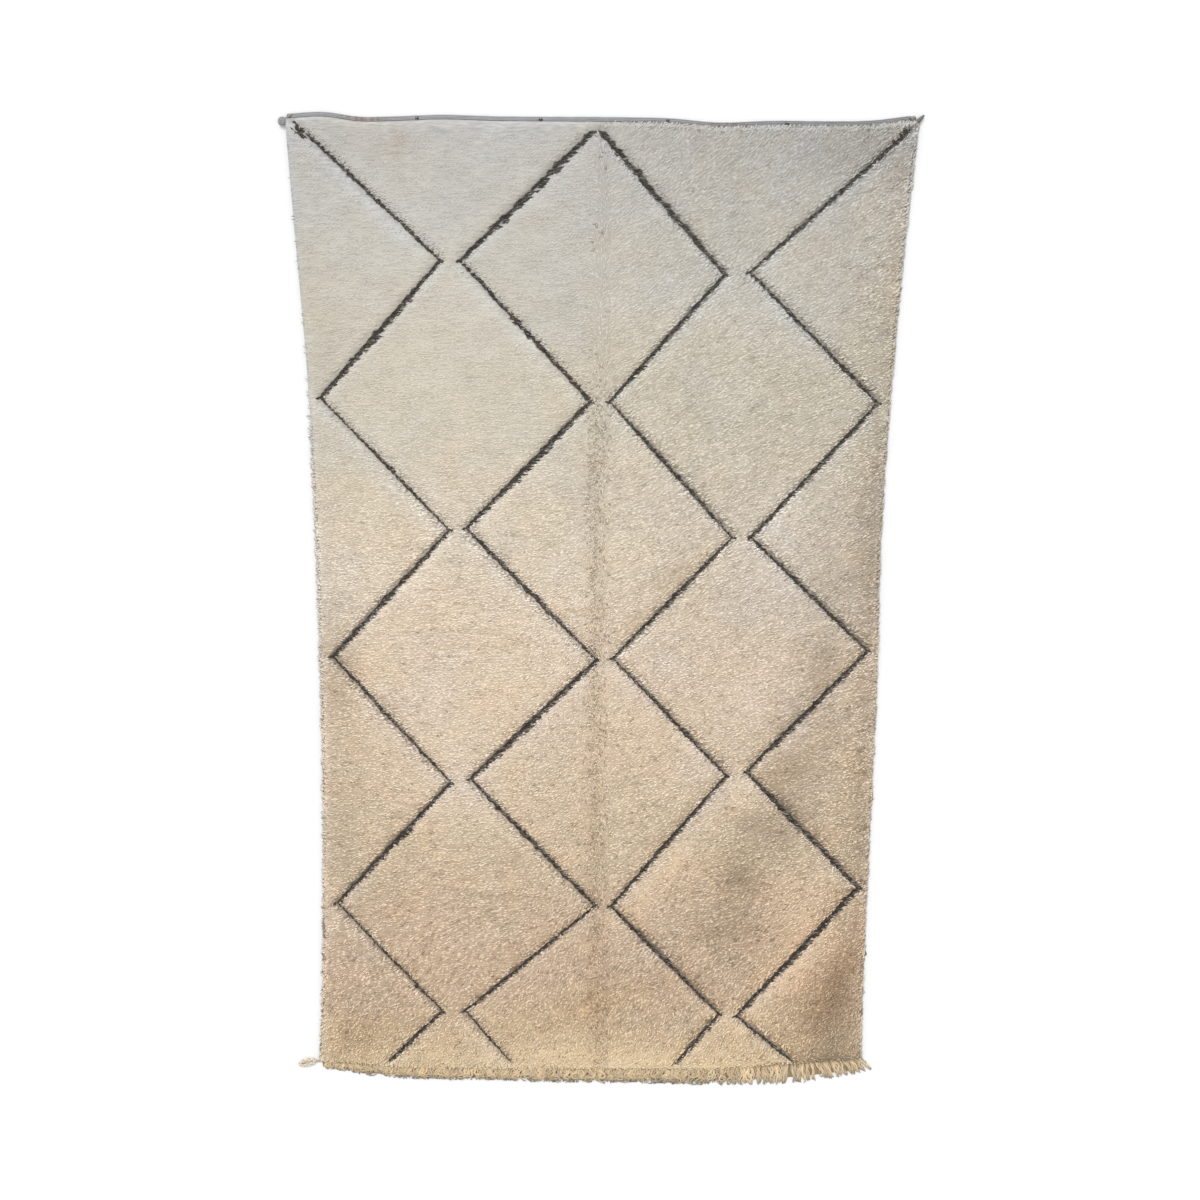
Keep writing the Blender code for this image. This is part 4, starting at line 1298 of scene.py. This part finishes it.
def fringe_headings(strand, lean, curly):
    """Directions of the yarns: clumps of strands drawn together, and yarns a little apart."""
    gather = rng.normal(0, 1, FRINGE_STRANDS // STRANDS_PER_CLUMP)[strand // STRANDS_PER_CLUMP]
    apart = rng.normal(0, 0.07, FRINGE_STRANDS)[strand] + rng.normal(0, 0.02 + 0.10 * curly, len(strand))
    return np.arctan2(-np.ones(len(strand)), lean + gather * (0.06 + 0.16 * curly) + apart)


def fringe_curls(strand, which, length, curly, t):
    """How far each yarn goes forward and aside at its stations, and the angle of its ply."""
    count = len(strand)
    swing = 0.16 + 1.25 * curly * rng.uniform(0.5, 1.2, count)
    turns = rng.uniform(0.8, 1.9, count)
    phase = rng.uniform(0, tau, FRINGE_STRANDS)[strand] + rng.normal(0, 0.2 + 1.2 * curly, count)
    ease = np.minimum(t * 2.5, 1)
    angle = swing[:, None] * ease * np.sin(phase[:, None] + tau * turns[:, None] * t)
    forward = np.concatenate([np.zeros((count, 1)), np.cumsum(np.cos(angle[:, 1:]), 1)], 1)
    aside = np.concatenate([np.zeros((count, 1)), np.cumsum(np.sin(angle[:, 1:]), 1)], 1)
    scale = length / np.maximum(forward[:, -1], 0.2)
    forward, aside = forward * scale[:, None], aside * scale[:, None]
    aside -= aside[:, -1:] * t * 0.7
    ply = tau * (which[:, None] / 3 + 2.0 * t) + phase[:, None]
    return forward, aside + 0.0013 * (1 - curly[:, None]) * np.cos(ply), ply


def fringe_colours(strand, which, curly, heap, t):
    """Cream wool with painted shadow: darker and browner at its roots, under the pile's edge, and darker at
    its ends and along its curls.
    """
    count = len(strand)
    tone = np.exp(rng.normal(0, 0.10, count) + (0.10 * rng.normal(0, 1, FRINGE_STRANDS))[strand])
    tone = tone * np.where(which < 3, 1.04, 0.80 + 0.18 * curly)
    warmth = rng.normal(0.01, 0.03, count)
    tint = np.stack([1 + 0 * warmth, 1 - 0.5 * warmth, 1 - 2 * warmth], 1)
    # Painted shadow: the roots darker and browner under the pile's edge, less so where the fringe is heaped
    # up; the ends and the curls darker too
    root = (1 - t) ** 5 * (1 - heap[:, None]) + 0.25 * (1 - t) ** 3 * heap[:, None]
    shade = 1.16 - 0.55 * t ** 5 - 0.42 * curly[:, None] * t ** 1.5 - 0.70 * root
    brown = np.stack([0 * root, 0.10 * root, 0.22 * root], -1)
    colours = linear(FRINGE_CREAM) * WOOL_GAIN * (tone[:, None] * tint)[:, None, :]
    return capped(colours * shade[:, :, None] * (1 - brown))


def build_fringe():
    """Loose wool ends: curly and heaped at the left and in the middle, fanned out straight at the right."""
    pitch = (FRINGE_TO - FRINGE_FROM) / FRINGE_STRANDS
    strand = np.repeat(np.arange(FRINGE_STRANDS), YARNS_PER_STRAND)
    which = np.tile(np.arange(YARNS_PER_STRAND), FRINGE_STRANDS)
    count = len(strand)
    x = FRINGE_FROM + (strand + 0.5) * pitch
    reach, lean, curly = fringe_reach(x)
    heap = heaped(x)
    inset = (OVERHANG - PIECE_GAP) * (1 - 0.7 * heap)
    length = fringe_lengths(strand, which, reach, curly, inset)
    beside = np.where(which < 3, 0.0, pitch * (which - 4) * 0.42)
    spread = pitch * ((which % 3) - 1) * 0.34 + rng.uniform(-1, 1, count) * pitch * 0.2
    start_x = (x + beside + (spread - beside) * curly)[:, None]
    start_y = (fringed_end(x) + inset)[:, None]
    heading = fringe_headings(strand, lean, curly)[:, None]
    t = np.linspace(0, 1, YARN_STATIONS)[None, :]
    forward, aside, ply = fringe_curls(strand, which, length, curly, t)
    c, s = np.cos(heading), np.sin(heading)
    girth = rng.uniform(0.0017, 0.0022, count) * (1 + 0.10 * curly)
    radii = girth[:, None] * (1.05 - 0.50 * t ** 3)
    layer = rng.uniform(0, 1, count)[:, None]
    arch = np.sin(pi * np.clip(t * 1.02, 0, 1)) ** 0.7
    rise = (0.0008 + 0.0040 * curly[:, None]) * layer * arch
    rise = rise + 0.0011 * (1 - curly[:, None]) * (1 + np.sin(ply)) * np.minimum(3 * t, 1)
    rise = rise + 0.0075 * heap[:, None] * (0.4 + 0.6 * layer) * (1 - t) ** 1.1
    z = radii + 0.0003 + rise + 0.0012 * (which < 3)[:, None] * np.minimum(4 * t, 1)
    paths = np.stack([start_x + forward * c - aside * s, start_y + forward * s + aside * c, z], -1)
    fringe = yarns("fringe", YARN_WOOL, paths, radii, fringe_colours(strand, which, curly, heap, t))
    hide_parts("end_fringe")
    return fringe


def build_shaded_felt():
    """Matted wool under the fringe's yarns, with a ragged edge, coloured dark as painted shade between the
    yarns.
    """
    stations = 460
    x = np.linspace(FRINGE_FROM - 0.004, FRINGE_TO + 0.004, stations)
    reach, curly = fringe_reach(x)[::2]
    out = reach * (0.74 + 0.06 * curly) + 0.004 * field(x, 0 * x, 0.012, 63.0) * curly
    height = 0.0018 + 0.0050 * heaped(x) + 0.0008 * field(x, 0 * x, 0.015, 64.0)
    root, edge = fringed_end(x) + 0.0074, fringed_end(x) - out
    ring = (
        (root, 0.0003 + 0 * x),
        (root, height),
        (root * 0.5 + edge * 0.5, height * 0.8),
        (edge + 0.0015, 0.0020 + 0 * x),
        (edge, 0.0010 + 0 * x),
        (edge + 0.0010, 0.0003 + 0 * x),
    )
    points = np.stack([np.stack([x, y, z], 1) for y, z in ring], 1).reshape(-1, 3)
    sides = len(ring)
    a = np.arange(stations - 1)[:, None] * sides + np.arange(sides)[None]
    b = np.arange(stations - 1)[:, None] * sides + (np.arange(sides)[None] + 1) % sides
    quads = np.stack([a, a + sides, b + sides, b], -1).reshape(-1, 4)
    first = np.arange(sides)
    faces = np.concatenate([quads.ravel(), first, (first + (stations - 1) * sides)[::-1]])
    sizes = np.concatenate([np.full(len(quads), 4), [sides, sides]])
    shaded_felt = mesh_piece("fringe_shaded_felt", points, faces, sizes, BED_WOOL)
    # Painted shade between the yarns: about half as bright as the cream, and browner
    tone = 0.50 + 0.12 * field(points[:, 0], points[:, 1], 0.02, 65.0)
    put_wool(shaded_felt, linear(FRINGE_CREAM) * WOOL_GAIN * tone[:, None] * (1, 0.92, 0.80), points)
    return shaded_felt


# ---- woven band and corner pieces

BAND_CORDS = 3
# Grey-blue of the woven band: painted shade on the pale woven end
BAND_SHADE_GREY = (166, 167, 171)
NUBS = (-0.461, -0.149, 0.171, 0.473)
ENDS_PER_NUB = 7
NUB_GREY = (66, 62, 70)


def build_band():
    """Weft cords laid side by side on the woven band, coloured grey-blue as painted shade."""
    stations = 400
    x = np.linspace(-0.778, 0.783, stations)
    paths, radii = np.empty((BAND_CORDS, stations, 3)), np.empty((BAND_CORDS, stations))
    beads = 1 + 0.16 * np.where(np.arange(stations) % 2, 1, -1)
    for k in range(BAND_CORDS):
        inset = 0.0016 + 0.0034 * k
        wobble = 0.0004 * field(x, 0 * x, 0.03, 71.0 + k)
        paths[k, :, 0] = x
        paths[k, :, 1] = plain_end(x) - inset + wobble
        paths[k, :, 2] = 0.0052 + 0.0003 * (k % 2)
        radii[k] = 0.0018 * beads * (1 + 0.15 * field(x, 0 * x, 0.02, 75.0 + k))
    # The band's grey-blue is painted shade; it grows darker towards the right
    shade = 1.0 - 0.22 * smooth((x + 0.2) / 0.9) + 0.10 * field(x, 0 * x, 0.03, 78.0)
    ragged = np.exp(-((x + 0.600) / 0.060) ** 2) + np.exp(-((x - 0.325) / 0.045) ** 2)
    brown = ragged * smooth(0.5 + field(x, 0 * x, 0.006, 79.0) * 1.6)
    colours = linear(BAND_SHADE_GREY) * np.array([0.88, 1.0, 0.94])[:, None, None] * shade[None, :, None]
    colours = colours * (1 - brown[None, :, None] * np.array([0.25, 0.45, 0.55]))
    band = yarns("woven_band", YARN_WOOL, paths, radii, colours, sides=5)
    return band


def build_nubs():
    """Small dark ends of yarn in tufts on the woven band."""
    centre = np.repeat(np.array(NUBS), ENDS_PER_NUB)
    count = len(centre)
    t = np.linspace(0, 1, 5)[None, :]
    angle = rng.uniform(0.2 * pi, 0.8 * pi, count)[:, None]
    length = rng.uniform(0.005, 0.009, count)[:, None]
    x0 = (centre + rng.uniform(-0.0045, 0.0045, count))[:, None]
    y0 = plain_end(x0) - 0.009
    out, up = np.cos(angle) * length * t, np.sin(angle) * length * t
    paths = np.stack([x0 + out, y0 + up, 0.0075 - 0.002 * t + 0 * x0], -1)
    radii = 0.0016 * (1 - 0.6 * t ** 2) + 0 * x0
    colours = linear(NUB_GREY) * np.exp(rng.normal(0, 0.2, count))[:, None]
    nubs = yarns("band_nubs", DARK_YARN, paths, radii, colours, sides=5)
    return nubs


BRAID_PLACE = (-0.8335, -1.2690)
BRAID_TURN = radians(14)
BRAID_LENGTH = 0.054
BRAID_WIDTH = 0.024
BRAID_THICKNESS = 0.0095
BRAID_PLIES = ((214, 200, 176), (206, 190, 164), (168, 164, 158))
KNOB_PLACE = (-0.8025, 1.3140)
KNOB_RADIUS = 0.0108
KNOB_HEIGHT = 0.015
KNOB_YARN = 0.0017
KNOB_GREY = (150, 152, 154)
TIE_PLACE = (0.8040, 1.3150)
TIE_TURN = radians(44)
TIE_LENGTH = 0.040
TIE_THICKNESS = 0.0165
TIE_GREY, BINDING_GREY = (126, 127, 123), (140, 140, 136)


def turned(paths, place, turn):
    """Paths turned about the origin and moved to a place."""
    c, s = cos(turn), sin(turn)
    x, y = paths[..., 0].copy(), paths[..., 1].copy()
    paths[..., 0] = place[0] + c * x - s * y
    paths[..., 1] = place[1] + s * x + c * y
    return paths


def build_braid():
    """Three plies of yarn plaited round a flattened loop."""
    stations, plaits, plies = 112, 8, 3
    t = tau * np.arange(stations) / stations
    reach, rise = (BRAID_LENGTH - BRAID_THICKNESS) / 2, (BRAID_WIDTH - BRAID_THICKNESS) / 2
    cx, cy = reach * np.cos(t), rise * np.sin(t)
    nx, ny = np.cos(t) / reach, np.sin(t) / rise
    norm = np.hypot(nx, ny)
    paths = np.empty((plies, stations, 3))
    for k in range(plies):
        phase = plaits * t + tau * k / plies
        across = 0.0025 * np.sin(phase)
        paths[k, :, 0] = cx + nx / norm * across
        paths[k, :, 1] = cy + ny / norm * across
        paths[k, :, 2] = BRAID_THICKNESS * 0.45 + 0.0017 * np.sin(2 * phase)
    radii = np.full((plies, stations), 0.0023)
    colours = linear(BRAID_PLIES) * WOOL_GAIN
    paths = turned(paths, BRAID_PLACE, BRAID_TURN)
    braid = yarns("looped_braid", YARN_WOOL, paths, radii, colours, sides=6, closed=True)
    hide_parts("corner_braid")
    return braid


def build_knob():
    """A ball of yarn wound over itself."""
    loops, stations = 24, 30
    t = tau * np.arange(stations) / stations
    paths, outward = np.empty((loops, stations, 3)), np.empty((loops, stations, 3))
    for k in range(loops):
        # Axes spread evenly over half a ball, so that the windings leave no hole
        level, turn = (k + 0.5) / loops, k * pi * (3 - 5 ** 0.5)
        flat = np.sqrt(1 - level ** 2)
        axis = Vector((flat * cos(turn), flat * sin(turn), level))
        first = axis.orthogonal().normalized()
        second = axis.cross(first)
        ball = np.outer(np.cos(t), first) + np.outer(np.sin(t), second)
        outward[k] = ball
        paths[k] = ball * (KNOB_RADIUS - KNOB_YARN + 0.0003 * (k % 3))
    paths[..., 2] = paths[..., 2] / KNOB_RADIUS * (KNOB_HEIGHT / 2 - 0.0019) + KNOB_HEIGHT / 2
    radii = np.full((loops, stations), KNOB_YARN)
    tone = rng.uniform(0.75, 1.15, loops)
    colours = linear(KNOB_GREY) * tone[:, None]
    paths = turned(paths, KNOB_PLACE, 0.0)
    knob = yarns("wound_knob", YARN_WOOL, paths, radii, colours, sides=5, up=outward, closed=True)
    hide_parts("corner_knob")
    return knob


def build_tie():
    """Yarn ends bound near their root and drawn out to a point."""
    count, stations = 17, 12
    t = np.linspace(0, 1, stations)[None, :]
    girth = np.interp(t[0], (0, 0.1, 0.2, 0.34, 0.5, 0.8, 1), (0.8, 1.0, 0.72, 0.98, 0.92, 0.6, 0.25))
    spoke = rng.uniform(0, tau, count)[:, None] + 0.8 * t
    out = np.sqrt(rng.uniform(0, 1, count))[:, None] * (TIE_THICKNESS / 2 - 0.0014) * girth[None]
    along = TIE_LENGTH * (t - 0.5) * (1 - 0.10 * rng.uniform(0, 1, count)[:, None] * (t > 0.5))
    up = TIE_THICKNESS * 0.50 + out * np.sin(spoke) * 0.9
    paths = turned(np.stack([along, out * np.cos(spoke), up], -1), TIE_PLACE, TIE_TURN)
    radii = 0.0016 * (1 - 0.5 * t ** 3) + 0 * spoke
    tone = np.exp(rng.normal(-0.1, 0.22, count))
    colours = linear(TIE_GREY) * tone[:, None]
    tie = yarns("corner_tie_yarns", DARK_YARN, paths, radii, colours, sides=5)
    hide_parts("corner_tie")
    return tie


def build_tie_binding():
    """Loops of yarn wound round the tie near its root."""
    wraps, around = 5, 22
    a = tau * np.arange(around) / around
    loops, outward = np.empty((wraps, around, 3)), np.empty((wraps, around, 3))
    for k in range(wraps):
        reach = (TIE_THICKNESS / 2 - 0.0012) * (0.88 if k < 4 else 0.95)
        loops[k, :, 0] = TIE_LENGTH * (-0.36 + 0.050 * k) + 0.0008 * np.sin(a)
        loops[k, :, 1] = reach * np.cos(a)
        loops[k, :, 2] = TIE_THICKNESS * 0.50 + reach * np.sin(a) * 0.92
        outward[k] = np.stack([0 * a, np.cos(a), np.sin(a)], -1)
    loops = turned(loops, TIE_PLACE, TIE_TURN)
    outward = turned(outward, (0.0, 0.0), TIE_TURN)
    radii, colours = np.full((wraps, around), 0.0012), linear(BINDING_GREY) * np.ones((wraps, 1))
    binding = yarns("corner_tie_binding", DARK_YARN, loops, radii, colours, sides=5, up=outward, closed=True)
    return binding


# Short plied cords that join the corner pieces to the cloth
CORNER_CORDS = table(
    "x0 y0 x1 y1 height red green blue",
    (-0.799, 1.318, -0.777, 1.331, 0.0062, 150, 146, 142),
    (-0.812, -1.265, -0.786, -1.262, 0.0050, 178, 158, 130),
    (0.797, 1.300, 0.782, 1.321, 0.0066, 64, 58, 56),
)


def build_corner_cords():
    """Three plies twisted round each other, for each cord."""
    stations, plies = 14, 3
    t = np.linspace(0, 1, stations)
    paths, colours = [], []
    for cord in CORNER_CORDS:
        dx, dy = cord.x1 - cord.x0, cord.y1 - cord.y0
        span = np.hypot(dx, dy)
        for ply in range(plies):
            turn = tau * (ply / plies + 2.2 * t)
            aside, up = 0.0017 * np.cos(turn), 0.0015 * np.sin(turn)
            path = np.stack([cord.x0 + dx * t - dy / span * aside, cord.y0 + dy * t + dx / span * aside], 1)
            paths.append(np.concatenate([path, (cord.height + up)[:, None]], 1))
            colours.append(linear((cord.red, cord.green, cord.blue)) * rng.uniform(0.85, 1.15))
    paths = np.array(paths)
    radii = np.full(paths.shape[:2], 0.0016)
    cords = yarns("corner_cords", YARN_WOOL, paths, radii, np.array(colours), sides=5)
    return cords


# ---- stage, light and camera

FLOOR_SIZE = 14.0
FLOOR_GAP = 0.0004
FLOOR_WHITE = (0.86, 0.86, 0.86, 1)
SURROUND_COLOUR = (1.03, 1.0, 0.955, 1)
SURROUND_STRENGTH = 0.80
KEY_COLOUR = (0.94, 1.0, 1.085)
KEY_STRENGTH = 1.7
KEY_BREADTH = radians(24)
KEY_DIRECTION = (0.25, -1.0, -1.15)


def build_stage():
    """A white floor just under the rug."""
    size = FLOOR_SIZE
    mesh = bpy.data.meshes.new("floor")
    corners = [(-size, -size, 0), (size, -size, 0), (size, size, 0), (-size, size, 0)]
    mesh.from_pydata(corners, [], [(0, 1, 2, 3)])
    floor = placed("floor", mesh)
    floor.location.z = -FLOOR_GAP
    made, tree, shader = material("floor_paint")
    set_inputs(tree, shader, {"Base Color": FLOOR_WHITE, "Roughness": 0.9})
    mesh.materials.append(made)


def build_light():
    """One soft key from the plain end, and an even surround."""
    world = bpy.data.worlds.new("studio")
    bpy.context.scene.world = world
    world.use_nodes = True
    surround = {"Color": SURROUND_COLOUR, "Strength": SURROUND_STRENGTH}
    set_inputs(world.node_tree, world.node_tree.nodes["Background"], surround)
    lamp = bpy.data.lights.new("key", "SUN")
    lamp.energy = KEY_STRENGTH
    lamp.color = KEY_COLOUR
    lamp.angle = KEY_BREADTH
    key = placed("key", lamp)
    key.rotation_euler = Vector(KEY_DIRECTION).to_track_quat("-Z", "Y").to_euler()
    bpy.context.scene.view_settings.view_transform = "Standard"


def build_camera():
    """A camera above the rug, tilted so that the rug is seen as in the photo."""
    data = bpy.data.cameras.new("camera")
    data.lens = LENS
    data.sensor_width = SENSOR
    camera = placed("camera", data)
    camera.location = CAMERA_PLACE
    camera.rotation_euler = (CAMERA_TILT, 0.0, 0.0)
    bpy.context.scene.camera = camera


build_camera()
build_light()
build_stage()

pile = ivory_locks()
lines = dark_locks()
beds = build_line_beds()
cloth = build_cloth()
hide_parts("rug_field")
ends = [build_band(), build_nubs(), build_shaded_felt(), build_fringe()]
corners = [build_braid(), build_knob(), build_tie(), build_tie_binding(), build_corner_cords()]
made = [cloth, *pile, lines, beds, *ends, *corners]
for piece in made:
    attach(piece, "root")
